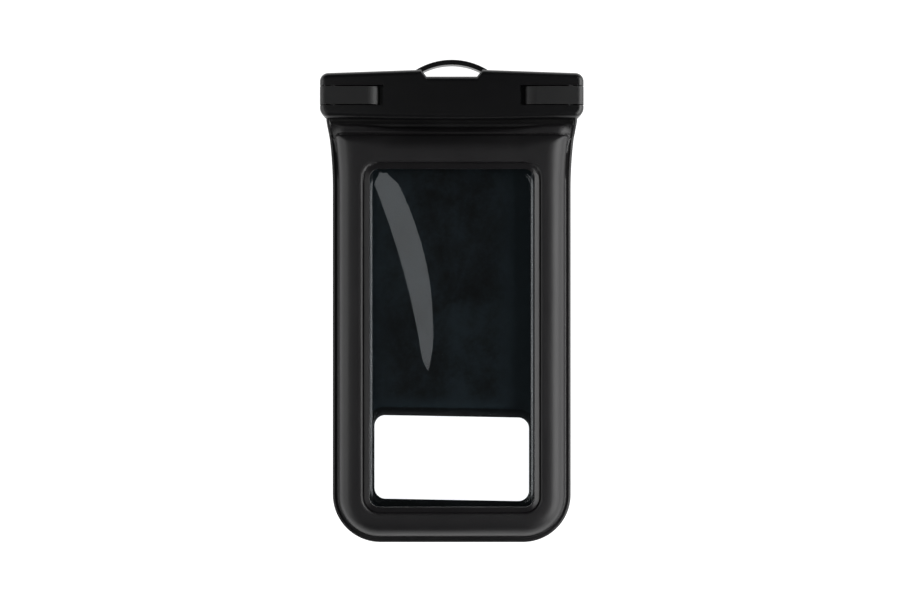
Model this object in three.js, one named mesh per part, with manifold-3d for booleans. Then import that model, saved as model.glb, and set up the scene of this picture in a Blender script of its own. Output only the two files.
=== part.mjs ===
// Waterproof phone pouch lying on its back, in millimetres.
// X runs across the pouch, Y from its closed end to its clamp, Z up through its thickness.
// The origin is the centre of its length and width, on the surface that it lies on.

import * as THREE from 'three';
import { mergeVertices } from 'three/addons/utils/BufferGeometryUtils.js';
import Module from 'manifold-3d';

const wasm = await Module();
wasm.setup();

// Driving dimensions of the bag
const WINDOW_WIDTH = 75;
const WINDOW_LENGTH = 154;
const WINDOW_CORNER = 4.6;
const RING_WIDTH = 17.3;
const FLANGE_WIDTH = 1.9;
const WELD_WIDTH = 2.8;
const RING_HEIGHT = 11.6;
const WELD_HEIGHT = 8;
const CREST_OFFSET = 7.4;
const TOP_CORNER = 2.5;
const FLARE_LENGTH = 31;
const FLARE_WIDTH = 2.5;
const NECK_LENGTH = 4.9;
const CREASE_HEIGHT = 6;
const PINCH_WIDTH = 14;
const NECK_LAP = 1;
const RAMP_LEAD = 3;
const RAMP_SETBACK = 0.6;
const RAMP_LAP = 0.5;
const CAMERA_WIDTH = 71.4;
const CAMERA_LENGTH = 38.6;
const CAMERA_CORNER = 5;
const CAMERA_MARGIN = 1.9;
const CAMERA_WELD = 4;

// Wall thicknesses of the films
const SKIN_WALL = 0.7;
const LINER_WALL = 0.4;
const REAR_WALL = 0.5;
const WINDOW_WALL = 0.5;
const FILM_GAP = 0.3;
const FOAM_GAP = 0.7;

// Driving dimensions of the clamp
const CLAMP_OVERHANG = 5.2;
const CLAMP_HEIGHT = 22.8;
const CLAMP_DEPTH = 13;
const TOP_CROWN = 1.6;
const BOTTOM_CROWN = 1;
const TOP_EDGE_RADIUS = 3.7;
const BOTTOM_EDGE_RADIUS = 4.5;
const FRONT_ROUND = 1.6;
const REAR_ROUND = 1;
const PARTING_GAP = 0.6;
const NOTCH_FLOOR = 23;
const NOTCH_CHAMFER = 2.4;
const NOTCH_DEPTH = 3.1;
const REAR_NOTCH_EXTRA = 1.5;
const MOUTH_DEPTH = 4.6;
const MOUTH_RECESS = 2.6;
const MOUTH_SIDE_GAP = 0.4;
const PEG_RADIUS = 1.3;
const PEG_HEIGHT = 2.4;
const PEG_SPACING = 48;
const PEG_FROM_TOP = 4.4;

// Driving dimensions of the seals and film strips
const STRIP_THICKNESS = 1;
const SEAL_WIDTH = 4.4;
const SEAL_RISE = 7.9;
const SEAL_GROOVE = 2;
const SEAL_PROUD = 0.15;
const SEAL_END_MARGIN = 10;
const SEAL_END_RADIUS = 2;

// Driving dimensions of the loop for a strap
const LOOP_SPAN = 35.2;
const LOOP_RISE = 5.4;
const LOOP_WALL = 2;
const LOOP_ROOT = 1.6;
const LOOP_SETBACK = 0.2;

// Driving dimensions of the latches
const LATCH_RISE = 6.6;
const LATCH_SLOT = 8.7;
const LATCH_GAP = 0.3;
const LATCH_REACH = 26;
const FINGER_RECESS = 2.9;
const FINGER_RECESS_DEPTH = 3.6;
const ARM_THICKNESS = 2.7;
const ARM_ROLL = 4.8;
const KNUCKLE_RADIUS = 3;
const PIN_RADIUS = 1;
const PIN_CLEARANCE = 0.3;
const PIN_ROUND = 0.25;
const PIN_RISE = 4.6;
const PIN_LOW_HOLD = 1.6;
const PIN_HIGH_HOLD = 5;

// How finely the curves are divided
const CORNER_STEPS = 8;
const SIDE_STEPS = 12;
const TOP_CORNER_STEPS = 4;
const TOP_STEPS = 8;
const ARCH_STEPS = 4;
const ROUND_STEPS = 3;
const CIRCLE_STEPS = 20;

// Sizes worked out from the driving dimensions
const BODY_WIDTH = WINDOW_WIDTH + 2 * RING_WIDTH;
const BODY_CORNER = WINDOW_CORNER + RING_WIDTH;
const CREASE_Y = WINDOW_LENGTH + 2 * RING_WIDTH;
const CLAMP_Y = CREASE_Y + NECK_LENGTH;
const CLAMP_WIDTH = BODY_WIDTH + 2 * CLAMP_OVERHANG;
const CLAMP_TOP = CLAMP_Y + CLAMP_HEIGHT;
const OVERALL_LENGTH = CLAMP_TOP + LOOP_RISE;
const REAR_BAR_TOP = (CLAMP_DEPTH - PARTING_GAP) / 2;
const FRONT_BAR_BACK = REAR_BAR_TOP + PARTING_GAP;
const LOOP_DEPTH = REAR_BAR_TOP - LOOP_SETBACK;
const MOUTH_TOP = CLAMP_Y + MOUTH_DEPTH;
const MOUTH_WIDTH = BODY_WIDTH + 2 * (FLARE_WIDTH + MOUTH_SIDE_GAP);
const FILM_END = MOUTH_TOP - FILM_GAP;
const REAR_POCKET_FLOOR = REAR_BAR_TOP - MOUTH_RECESS;
const FRONT_POCKET_FLOOR = FRONT_BAR_BACK + MOUTH_RECESS;
const REAR_FILM_RISE = REAR_POCKET_FLOOR + 2 * FILM_GAP + STRIP_THICKNESS;
const SKIN_MOUTH_Z = FRONT_POCKET_FLOOR - 2 * FILM_GAP - STRIP_THICKNESS - SKIN_WALL;
const BAND_LOW = CLAMP_Y + LATCH_RISE;
const BAND_HIGH = BAND_LOW + LATCH_SLOT;
const PIN_X = CLAMP_WIDTH / 2 - KNUCKLE_RADIUS;
const LUG_X = PIN_X - KNUCKLE_RADIUS - LATCH_GAP;
const ARM_FLOOR = CLAMP_DEPTH - ARM_THICKNESS - LATCH_GAP;
const STACK_HEIGHT = REAR_WALL + LINER_WALL + 2 * FILM_GAP;

// Materials
const barMaterial = new THREE.MeshStandardMaterial({ color: 0x141416, roughness: 0.42, metalness: 0 });
const latchMaterial = new THREE.MeshStandardMaterial({ color: 0x1e1e20, roughness: 0.6, metalness: 0 });
const skinMaterial = new THREE.MeshStandardMaterial({ color: 0x1c1c1e, roughness: 0.5, metalness: 0 });
const panelMaterial = new THREE.MeshStandardMaterial({ color: 0x101317, roughness: 0.55, metalness: 0 });
const linerMaterial = new THREE.MeshStandardMaterial({ color: 0x161618, roughness: 0.6, metalness: 0 });
const foamMaterial = new THREE.MeshStandardMaterial({ color: 0x2b2b2d, roughness: 0.95, metalness: 0 });
const sealMaterial = new THREE.MeshStandardMaterial({ color: 0x8c8f92, roughness: 0.7, metalness: 0 });
const pinMaterial = new THREE.MeshStandardMaterial({ color: 0xb4b6b8, roughness: 0.3, metalness: 1 });
const clearMaterial = new THREE.MeshStandardMaterial({
  color: 0xdfe5e8,
  roughness: 0.08,
  metalness: 0,
  transparent: true,
  opacity: 0.25,
});

// Conversion between geometries and solids
function toSolid(geometry) {
  const bare = geometry.index ? geometry.toNonIndexed() : geometry.clone();
  bare.deleteAttribute('normal');
  bare.deleteAttribute('uv');
  const merged = mergeVertices(bare, 1e-4);
  const triVerts = new Uint32Array(merged.index.array);
  const vertProperties = new Float32Array(merged.attributes.position.array);
  return new wasm.Manifold(new wasm.Mesh({ numProp: 3, vertProperties, triVerts }));
}

function toGeometry(solid) {
  const mesh = solid.getMesh();
  const geometry = new THREE.BufferGeometry();
  geometry.setAttribute('position', new THREE.BufferAttribute(new Float32Array(mesh.vertProperties), 3));
  geometry.setIndex(new THREE.BufferAttribute(new Uint32Array(mesh.triVerts), 1));
  geometry.computeVertexNormals();
  return geometry;
}

// A box between two corners
function block(low, high) {
  const geometry = new THREE.BoxGeometry(high[0] - low[0], high[1] - low[1], high[2] - low[2]);
  geometry.translate((low[0] + high[0]) / 2, (low[1] + high[1]) / 2, (low[2] + high[2]) / 2);
  return toSolid(geometry);
}

// A round rod along Y or Z from its low end
function rod(radius, length, along, low) {
  const geometry = new THREE.CylinderGeometry(radius, radius, length, CIRCLE_STEPS);
  geometry.translate(0, length / 2, 0);
  if (along === 'z') geometry.rotateX(Math.PI / 2);
  geometry.translate(low[0], low[1], low[2]);
  return geometry;
}

// An outline raised from one height to another
function raised(shape, lowZ, highZ, steps = CORNER_STEPS) {
  const geometry = new THREE.ExtrudeGeometry(shape, {
    depth: highZ - lowZ,
    bevelEnabled: false,
    curveSegments: steps,
  });
  geometry.translate(0, 0, lowZ);
  return geometry;
}

// An outline raised with rounded rims at both ends
function raisedRound(shape, lowZ, highZ, round) {
  const geometry = new THREE.ExtrudeGeometry(shape, {
    depth: highZ - lowZ - 2 * round,
    bevelEnabled: true,
    bevelThickness: round,
    bevelSize: round,
    bevelOffset: -round,
    bevelSegments: ROUND_STEPS,
    curveSegments: CORNER_STEPS,
  });
  geometry.translate(0, 0, lowZ + round);
  return geometry;
}

// A rectangle with rounded corners
function roundedRectangle(lowX, lowY, highX, highY, radius) {
  const shape = new THREE.Shape();
  shape.moveTo(lowX + radius, lowY);
  shape.lineTo(highX - radius, lowY);
  shape.absarc(highX - radius, lowY + radius, radius, -Math.PI / 2, 0, false);
  shape.lineTo(highX, highY - radius);
  shape.absarc(highX - radius, highY - radius, radius, 0, Math.PI / 2, false);
  shape.lineTo(lowX + radius, highY);
  shape.absarc(lowX + radius, highY - radius, radius, Math.PI / 2, Math.PI, false);
  shape.lineTo(lowX, lowY + radius);
  shape.absarc(lowX + radius, lowY + radius, radius, Math.PI, 1.5 * Math.PI, false);
  return shape;
}

// A closed ring through equal sections, each a closed loop of points
function ringThrough(sections) {
  const count = sections[0].length;
  const positions = [];
  const index = [];
  for (const section of sections) {
    for (const point of section) positions.push(point.x, point.y, point.z);
  }
  for (let s = 0; s < sections.length; s += 1) {
    const next = (s + 1) % sections.length;
    for (let p = 0; p < count; p += 1) {
      const a = s * count + p;
      const b = s * count + ((p + 1) % count);
      const c = next * count + ((p + 1) % count);
      const d = next * count + p;
      index.push(a, c, b, a, d, c);
    }
  }
  const geometry = new THREE.BufferGeometry();
  geometry.setAttribute('position', new THREE.Float32BufferAttribute(positions, 3));
  geometry.setIndex(index);
  return geometry;
}

// A curved sheet over rows of points, with its wall above them
function sheetOver(rows, wall) {
  const across = rows[0].length;
  const positions = [];
  const index = [];
  for (const lift of [0, wall]) {
    for (const row of rows) {
      for (const point of row) positions.push(point.x, point.y, point.z + lift);
    }
  }
  const upper = rows.length * across;
  const quad = (a, b, c, d) => index.push(a, b, c, a, c, d);
  for (let r = 0; r < rows.length - 1; r += 1) {
    for (let c = 0; c < across - 1; c += 1) {
      const a = r * across + c;
      quad(upper + a, upper + a + 1, upper + a + across + 1, upper + a + across);
      quad(a, a + across, a + across + 1, a + 1);
    }
  }
  const rim = [];
  for (let c = 0; c < across - 1; c += 1) rim.push(c);
  for (let r = 0; r < rows.length - 1; r += 1) rim.push(r * across + across - 1);
  for (let c = across - 1; c > 0; c -= 1) rim.push((rows.length - 1) * across + c);
  for (let r = rows.length - 1; r > 0; r -= 1) rim.push(r * across);
  for (let i = 0; i < rim.length; i += 1) {
    const a = rim[i];
    const b = rim[(i + 1) % rim.length];
    quad(a, b, upper + b, upper + a);
  }
  const geometry = new THREE.BufferGeometry();
  geometry.setAttribute('position', new THREE.Float32BufferAttribute(positions, 3));
  geometry.setIndex(index);
  return geometry;
}

const smooth = (value) => THREE.MathUtils.smoothstep(value, 0, 1);

// Half the bag's width, which flares towards the clamp
function halfWidth(y) {
  const start = CLAMP_Y - FLARE_LENGTH;
  const rise = THREE.MathUtils.clamp((y - start) / FLARE_LENGTH, 0, 1);
  return BODY_WIDTH / 2 + FLARE_WIDTH * rise * rise;
}

// Underside of the rear film, which climbs to the clamp's mouth
const RAMP_START = CREASE_Y - RAMP_LEAD;
const RAMP_END = CLAMP_Y - RAMP_SETBACK;

function rearFilmZ(y) {
  return REAR_FILM_RISE * smooth((y - RAMP_START) / (RAMP_END - RAMP_START));
}

// Underside of the front skin's edge and neck
function skinEdgeZ(x, y) {
  const pinched = Math.min(rearFilmZ(y) + STACK_HEIGHT, SKIN_MOUTH_Z);
  const climb = smooth((y - CREASE_Y) / (RAMP_END - CREASE_Y));
  const open = CREASE_HEIGHT + (SKIN_MOUTH_Z - CREASE_HEIGHT) * climb;
  const fromEdge = smooth((halfWidth(y) - Math.abs(x)) / PINCH_WIDTH);
  const nearNeck = smooth((y - (CREASE_Y - PINCH_WIDTH)) / PINCH_WIDTH);
  const atMouth = smooth((y - CREASE_Y) / (RAMP_END - CREASE_Y));
  return pinched + (open - pinched) * Math.max(fromEdge * nearNeck, atMouth);
}

// Where the straight top edge of the padded ring ends
const TOP_CORNER_X = halfWidth(CREASE_Y - TOP_CORNER) - TOP_CORNER;

// Pairs of points on the bag's edge and the window's edge, right half first
function ringStations() {
  const half = [];
  const add = (outer, inner) => half.push({ outer, inner });
  const innerX = WINDOW_WIDTH / 2;
  const innerLow = RING_WIDTH;
  const innerHigh = RING_WIDTH + WINDOW_LENGTH;
  add(new THREE.Vector2(0, 0), new THREE.Vector2(0, innerLow));
  for (let i = 0; i <= CORNER_STEPS; i += 1) {
    const angle = -Math.PI / 2 + (i / CORNER_STEPS) * (Math.PI / 2);
    const turn = new THREE.Vector2(Math.cos(angle), Math.sin(angle));
    const centre = new THREE.Vector2(innerX - WINDOW_CORNER, BODY_CORNER);
    add(
      turn.clone().multiplyScalar(BODY_CORNER).add(centre),
      turn.clone().multiplyScalar(WINDOW_CORNER).add(centre),
    );
  }
  const sideLow = BODY_CORNER;
  const sideHigh = CREASE_Y - TOP_CORNER;
  for (let i = 1; i < SIDE_STEPS; i += 1) {
    const share = Math.sin((i / SIDE_STEPS) * (Math.PI / 2));
    const outerY = sideLow + (sideHigh - sideLow) * share;
    const innerY = sideLow + (innerHigh - WINDOW_CORNER - sideLow) * share;
    add(new THREE.Vector2(halfWidth(outerY), outerY), new THREE.Vector2(innerX, innerY));
  }
  for (let i = 0; i <= TOP_CORNER_STEPS; i += 1) {
    const angle = (i / TOP_CORNER_STEPS) * (Math.PI / 2);
    const turn = new THREE.Vector2(Math.cos(angle), Math.sin(angle));
    const outerCentre = new THREE.Vector2(TOP_CORNER_X, sideHigh);
    const innerCentre = new THREE.Vector2(innerX - WINDOW_CORNER, innerHigh - WINDOW_CORNER);
    add(
      turn.clone().multiplyScalar(TOP_CORNER).add(outerCentre),
      turn.clone().multiplyScalar(WINDOW_CORNER).add(innerCentre),
    );
  }
  for (let i = 1; i <= TOP_STEPS; i += 1) {
    const share = 1 - i / TOP_STEPS;
    add(
      new THREE.Vector2(TOP_CORNER_X * share, CREASE_Y),
      new THREE.Vector2((innerX - WINDOW_CORNER) * share, innerHigh),
    );
  }
  const mirrored = half.slice(1, -1).reverse();
  const flip = (point) => new THREE.Vector2(-point.x, point.y);
  return half.concat(mirrored.map((s) => ({ outer: flip(s.outer), inner: flip(s.inner) })));
}

// Sections of a ring, from a function that gives each station's loop of offsets and heights
function ringSections(loopAt) {
  return ringStations().map((station) => {
    const edgeZ = skinEdgeZ(station.outer.x, station.outer.y);
    return loopAt(edgeZ).map(([offset, z]) => {
      const flat = station.outer.clone().lerp(station.inner, offset / RING_WIDTH);
      return new THREE.Vector3(flat.x, flat.y, z);
    });
  });
}

// The padded arch's outline, from the flange to the weld, drawn in by an inset
function archLine(edgeZ, inset) {
  const footZ = edgeZ + SKIN_WALL;
  const foot = FLANGE_WIDTH + inset;
  const inner = RING_WIDTH - WELD_WIDTH - inset;
  const crestZ = RING_HEIGHT - inset;
  const weldZ = WELD_HEIGHT - inset;
  const line = [];
  for (let i = 0; i <= ARCH_STEPS; i += 1) {
    const angle = (i / ARCH_STEPS) * (Math.PI / 2);
    const offset = CREST_OFFSET - (CREST_OFFSET - foot) * Math.cos(angle);
    line.push([offset, footZ - inset + (crestZ - footZ + inset) * Math.sin(angle)]);
  }
  for (let i = 1; i <= ARCH_STEPS; i += 1) {
    const share = i / ARCH_STEPS;
    const offset = CREST_OFFSET + (inner - CREST_OFFSET) * share;
    line.push([offset, weldZ + ((crestZ - weldZ) * (1 + Math.cos(Math.PI * share))) / 2]);
  }
  return line;
}

// Where the liner leaves the flange to climb to the window's weld
const LINER_TURN = FLANGE_WIDTH + SKIN_WALL + FILM_GAP;
const LINER_MIDDLE = (LINER_TURN + RING_WIDTH - WELD_WIDTH) / 2;

// The line that the liner follows under the foam
function linerTopZ(edgeZ, offset) {
  const low = edgeZ - FILM_GAP;
  const high = WELD_HEIGHT - SKIN_WALL - 2 * FILM_GAP - WINDOW_WALL;
  const share = (offset - LINER_TURN) / (RING_WIDTH - WELD_WIDTH - LINER_TURN);
  return low + (high - low) * THREE.MathUtils.clamp(share, 0, 1);
}

// Padded front skin with its neck
function frontSkin() {
  const ring = ringThrough(ringSections((edgeZ) => {
    const outer = [[0, edgeZ + SKIN_WALL], ...archLine(edgeZ, 0), [RING_WIDTH, WELD_HEIGHT]];
    const under = [[0, edgeZ], ...archLine(edgeZ, SKIN_WALL), [RING_WIDTH, WELD_HEIGHT - SKIN_WALL]];
    return outer.concat(under.reverse());
  }));
  const rows = [];
  const neckClimb = RAMP_END - CREASE_Y;
  const neckLevels = [
    CREASE_Y - NECK_LAP,
    CREASE_Y + NECK_LAP,
    CREASE_Y + 0.56 * neckClimb,
    RAMP_END,
    FILM_END,
  ];
  for (const y of neckLevels) {
    const columns = [-halfWidth(y)];
    for (let i = -TOP_STEPS; i <= TOP_STEPS; i += 1) columns.push((TOP_CORNER_X * i) / TOP_STEPS);
    columns.push(halfWidth(y));
    rows.push(columns.map((x) => new THREE.Vector3(x, y, skinEdgeZ(x, Math.max(y, CREASE_Y)))));
  }
  return toGeometry(toSolid(ring).add(toSolid(sheetOver(rows, SKIN_WALL))));
}

// Foam inside the padded ring
function floatFoam() {
  const inset = SKIN_WALL + FILM_GAP;
  return toGeometry(toSolid(ringThrough(ringSections((edgeZ) => {
    const upper = archLine(edgeZ, inset);
    const first = upper[0][0];
    const last = upper[upper.length - 1][0];
    const lowAt = (offset) => linerTopZ(edgeZ, offset) + FOAM_GAP;
    const kept = upper.map(([offset, z]) => [offset, Math.max(z, lowAt(offset) + LINER_WALL)]);
    const under = [last, LINER_MIDDLE, first].map((offset) => [offset, lowAt(offset)]);
    return [...kept, ...under];
  }))));
}

// Film that closes the padded ring from behind
function frontLiner() {
  return toGeometry(toSolid(ringThrough(ringSections((edgeZ) => {
    const offsets = [FILM_GAP, LINER_TURN, LINER_MIDDLE, RING_WIDTH - WELD_WIDTH, RING_WIDTH];
    const top = offsets.map((offset) => [offset, linerTopZ(edgeZ, offset)]);
    const under = top.map(([offset, z]) => [offset, z - LINER_WALL]);
    return top.concat(under.reverse());
  }))));
}

// Clear film behind the window's weld
function frontWindow() {
  const lap = WELD_WIDTH - FILM_GAP;
  const top = WELD_HEIGHT - SKIN_WALL - FILM_GAP;
  const outline = roundedRectangle(
    -WINDOW_WIDTH / 2 - lap,
    RING_WIDTH - lap,
    WINDOW_WIDTH / 2 + lap,
    RING_WIDTH + WINDOW_LENGTH + lap,
    WINDOW_CORNER + lap,
  );
  return toGeometry(toSolid(raised(outline, top - WINDOW_WALL, top)));
}

// Where the camera window lies in the rear film
const CAMERA_LOW = RING_WIDTH + CAMERA_MARGIN;
const CAMERA_HIGH = CAMERA_LOW + CAMERA_LENGTH;

// Rear film with its camera hole and its climb to the clamp
function rearFilm() {
  const panel = new THREE.Shape();
  const flatEnd = RAMP_START + RAMP_LAP;
  const cornerX = BODY_WIDTH / 2 - BODY_CORNER;
  panel.moveTo(-cornerX, 0);
  panel.lineTo(cornerX, 0);
  panel.absarc(cornerX, BODY_CORNER, BODY_CORNER, -Math.PI / 2, 0, false);
  for (let i = 1; i <= SIDE_STEPS; i += 1) {
    const y = BODY_CORNER + ((flatEnd - BODY_CORNER) * i) / SIDE_STEPS;
    panel.lineTo(halfWidth(y), y);
  }
  for (let i = SIDE_STEPS; i > 0; i -= 1) {
    const y = BODY_CORNER + ((flatEnd - BODY_CORNER) * i) / SIDE_STEPS;
    panel.lineTo(-halfWidth(y), y);
  }
  panel.absarc(-cornerX, BODY_CORNER, BODY_CORNER, Math.PI, 1.5 * Math.PI, false);
  const hole = roundedRectangle(
    -CAMERA_WIDTH / 2,
    CAMERA_LOW,
    CAMERA_WIDTH / 2,
    CAMERA_HIGH,
    CAMERA_CORNER,
  );
  const rows = [];
  for (let r = 0; r <= CORNER_STEPS; r += 1) {
    const y = RAMP_START + ((RAMP_END - RAMP_START) * r) / CORNER_STEPS;
    rows.push([-1, 0, 1].map((side) => new THREE.Vector3(side * halfWidth(y), y, rearFilmZ(y))));
  }
  rows.push([-1, 0, 1].map((side) => (
    new THREE.Vector3(side * halfWidth(FILM_END), FILM_END, REAR_FILM_RISE)
  )));
  const flat = toSolid(raised(panel, 0, REAR_WALL));
  const cut = toSolid(raised(hole, -1, REAR_WALL + 1));
  return toGeometry(flat.subtract(cut).add(toSolid(sheetOver(rows, REAR_WALL))));
}

// Clear film over the camera hole
function rearWindow() {
  const low = REAR_WALL + FILM_GAP;
  const outline = roundedRectangle(
    -CAMERA_WIDTH / 2 - CAMERA_WELD,
    CAMERA_LOW - CAMERA_WELD,
    CAMERA_WIDTH / 2 + CAMERA_WELD,
    CAMERA_HIGH + CAMERA_WELD,
    CAMERA_CORNER + CAMERA_WELD,
  );
  return toGeometry(toSolid(raised(outline, low, low + WINDOW_WALL)));
}

// The clamp's outline from the front, with crowned edges and the notch
function clampOutline(notchExtra) {
  const halfX = CLAMP_WIDTH / 2;
  const lowEnd = CLAMP_Y + BOTTOM_CROWN;
  const highEnd = CLAMP_TOP - TOP_CROWN;
  const floorX = NOTCH_FLOOR / 2 + notchExtra;
  const lipX = floorX + NOTCH_CHAMFER;
  const low = BOTTOM_EDGE_RADIUS;
  const high = TOP_EDGE_RADIUS;
  const shape = new THREE.Shape();
  shape.moveTo(-halfX + low, lowEnd);
  shape.quadraticCurveTo(0, CLAMP_Y - BOTTOM_CROWN, halfX - low, lowEnd);
  shape.absarc(halfX - low, lowEnd + low, low, -Math.PI / 2, 0, false);
  shape.lineTo(halfX, highEnd - high);
  shape.absarc(halfX - high, highEnd - high, high, 0, Math.PI / 2, false);
  shape.lineTo(lipX, CLAMP_TOP);
  shape.lineTo(floorX, CLAMP_TOP - NOTCH_DEPTH);
  shape.lineTo(-floorX, CLAMP_TOP - NOTCH_DEPTH);
  shape.lineTo(-lipX, CLAMP_TOP);
  shape.lineTo(-halfX + high, highEnd);
  shape.absarc(-halfX + high, highEnd - high, high, Math.PI / 2, Math.PI, false);
  shape.lineTo(-halfX, lowEnd + low);
  shape.absarc(-halfX + low, lowEnd + low, low, Math.PI, 1.5 * Math.PI, false);
  return shape;
}

const sealLow = CLAMP_Y + SEAL_RISE;
const sealHalf = CLAMP_WIDTH / 2 - SEAL_END_MARGIN;
const pegY = CLAMP_TOP - PEG_FROM_TOP;

// The cuts for the films, strips and seal in one bar's inner face
function mouthCuts(floorZ, faceZ, grooveZ) {
  const past = faceZ > floorZ ? 1 : -1;
  const heights = [floorZ, faceZ + past].sort((a, b) => a - b);
  const grooveHeights = [grooveZ, faceZ + past].sort((a, b) => a - b);
  const mouth = block(
    [-MOUTH_WIDTH / 2, CLAMP_Y - 1, heights[0]],
    [MOUTH_WIDTH / 2, MOUTH_TOP, heights[1]],
  );
  const groove = block(
    [-sealHalf - FILM_GAP, sealLow - FILM_GAP, grooveHeights[0]],
    [sealHalf + FILM_GAP, sealLow + SEAL_WIDTH + FILM_GAP, grooveHeights[1]],
  );
  return mouth.add(groove);
}

// The gap at a bar's end that a latch's leg passes through
function legCut(side) {
  const near = side * LUG_X;
  const far = side * (CLAMP_WIDTH / 2 + 1);
  return block(
    [Math.min(near, far), BAND_LOW, -1],
    [Math.max(near, far), BAND_HIGH, CLAMP_DEPTH + 1],
  );
}

// Front bar with its latch recesses
function frontBar() {
  const full = toSolid(raisedRound(clampOutline(0), -2 * FRONT_ROUND, CLAMP_DEPTH, FRONT_ROUND));
  const keep = block(
    [-CLAMP_WIDTH, 0, FRONT_BAR_BACK],
    [CLAMP_WIDTH, OVERALL_LENGTH, CLAMP_DEPTH + 1],
  );
  let bar = full.intersect(keep);
  bar = bar.subtract(mouthCuts(FRONT_POCKET_FLOOR, FRONT_BAR_BACK, FRONT_BAR_BACK + SEAL_GROOVE));
  const noseX = CLAMP_WIDTH / 2 - LATCH_REACH;
  for (const side of [-1, 1]) {
    const armEnds = [side * noseX, side * (LUG_X + 1)].sort((a, b) => a - b);
    const recessEnds = [side * (noseX - FINGER_RECESS), side * noseX].sort((a, b) => a - b);
    bar = bar.subtract(legCut(side));
    bar = bar.subtract(block(
      [armEnds[0], BAND_LOW, ARM_FLOOR],
      [armEnds[1], BAND_HIGH, CLAMP_DEPTH + 1],
    ));
    bar = bar.subtract(block(
      [recessEnds[0], BAND_LOW, CLAMP_DEPTH - FINGER_RECESS_DEPTH],
      [recessEnds[1] + 0.01, BAND_HIGH, CLAMP_DEPTH + 1],
    ));
    const socketRadius = PEG_RADIUS + PIN_CLEARANCE;
    const socketDepth = PEG_HEIGHT - PARTING_GAP + PIN_CLEARANCE;
    bar = bar.subtract(toSolid(rod(
      socketRadius,
      socketDepth + 1,
      'z',
      [(side * PEG_SPACING) / 2, pegY, FRONT_BAR_BACK - 1],
    )));
  }
  return toGeometry(bar);
}

// The loop that stands on the rear bar's top edge
function strapLoop() {
  const half = LOOP_SPAN / 2;
  const radius = (half * half + LOOP_RISE * LOOP_RISE) / (2 * LOOP_RISE);
  const centreY = OVERALL_LENGTH - radius;
  const root = Math.asin((half + LOOP_ROOT) / radius);
  const shape = new THREE.Shape();
  shape.absarc(0, centreY, radius, Math.PI / 2 - root, Math.PI / 2 + root, false);
  shape.absarc(0, centreY, radius - LOOP_WALL, Math.PI / 2 + root, Math.PI / 2 - root, true);
  return toSolid(raised(shape, 0, LOOP_DEPTH));
}

// Rear bar with its strap loop, hinge lugs and locating pegs
function rearBar() {
  const outline = clampOutline(REAR_NOTCH_EXTRA);
  const full = toSolid(raisedRound(outline, 0, CLAMP_DEPTH, REAR_ROUND));
  const keep = block([-CLAMP_WIDTH, 0, -1], [CLAMP_WIDTH, OVERALL_LENGTH, REAR_BAR_TOP]);
  let bar = full.intersect(keep).add(strapLoop());
  bar = bar.subtract(mouthCuts(REAR_POCKET_FLOOR, REAR_BAR_TOP, REAR_BAR_TOP - SEAL_GROOVE));
  for (const side of [-1, 1]) {
    bar = bar.subtract(legCut(side));
    bar = bar.subtract(toSolid(rod(
      PIN_RADIUS + PIN_CLEARANCE,
      CLAMP_HEIGHT,
      'y',
      [side * PIN_X, BAND_LOW - PIN_LOW_HOLD, PIN_RISE],
    )));
    bar = bar.add(toSolid(rod(
      PEG_RADIUS,
      PEG_HEIGHT + 1,
      'z',
      [(side * PEG_SPACING) / 2, pegY, REAR_BAR_TOP - 1],
    )));
  }
  return toGeometry(bar);
}

// A latch lever seen along its hinge, turned over for the left end
function latch(side) {
  const noseX = CLAMP_WIDTH / 2 - LATCH_REACH;
  const outerX = CLAMP_WIDTH / 2;
  const top = CLAMP_DEPTH;
  const under = top - ARM_THICKNESS;
  const shape = new THREE.Shape();
  shape.moveTo(noseX + ARM_ROLL, top);
  shape.quadraticCurveTo(noseX, top, noseX, under + LATCH_GAP);
  shape.lineTo(noseX + LATCH_GAP, under);
  shape.lineTo(PIN_X, under);
  shape.lineTo(PIN_X, PIN_RISE + KNUCKLE_RADIUS);
  shape.absarc(PIN_X, PIN_RISE, KNUCKLE_RADIUS, Math.PI / 2, 2 * Math.PI, false);
  shape.lineTo(outerX, top - FRONT_ROUND);
  shape.absarc(outerX - FRONT_ROUND, top - FRONT_ROUND, FRONT_ROUND, 0, Math.PI / 2, false);
  const hole = new THREE.Path();
  hole.absarc(PIN_X, PIN_RISE, PIN_RADIUS + PIN_CLEARANCE, 0, 2 * Math.PI, true);
  shape.holes.push(hole);
  const width = LATCH_SLOT - 2 * LATCH_GAP;
  const geometry = new THREE.ExtrudeGeometry(shape, {
    depth: width,
    bevelEnabled: false,
    curveSegments: CORNER_STEPS,
  });
  geometry.rotateX(Math.PI / 2);
  geometry.translate(0, BAND_HIGH - LATCH_GAP, 0);
  if (side < 0) {
    geometry.rotateZ(Math.PI);
    geometry.translate(0, BAND_LOW + BAND_HIGH, 0);
  }
  return toGeometry(toSolid(geometry));
}

// A steel hinge pin with rounded ends
function hingePin(side) {
  const low = BAND_LOW - PIN_LOW_HOLD + PIN_CLEARANCE;
  const length = BAND_HIGH + PIN_HIGH_HOLD - low;
  const profile = [
    new THREE.Vector2(0, 0),
    new THREE.Vector2(PIN_RADIUS - PIN_ROUND, 0),
    new THREE.Vector2(PIN_RADIUS, PIN_ROUND),
    new THREE.Vector2(PIN_RADIUS, length - PIN_ROUND),
    new THREE.Vector2(PIN_RADIUS - PIN_ROUND, length),
    new THREE.Vector2(0, length),
  ];
  const geometry = new THREE.LatheGeometry(profile, CIRCLE_STEPS);
  geometry.translate(side * PIN_X, low, PIN_RISE);
  return toGeometry(toSolid(geometry));
}

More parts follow.
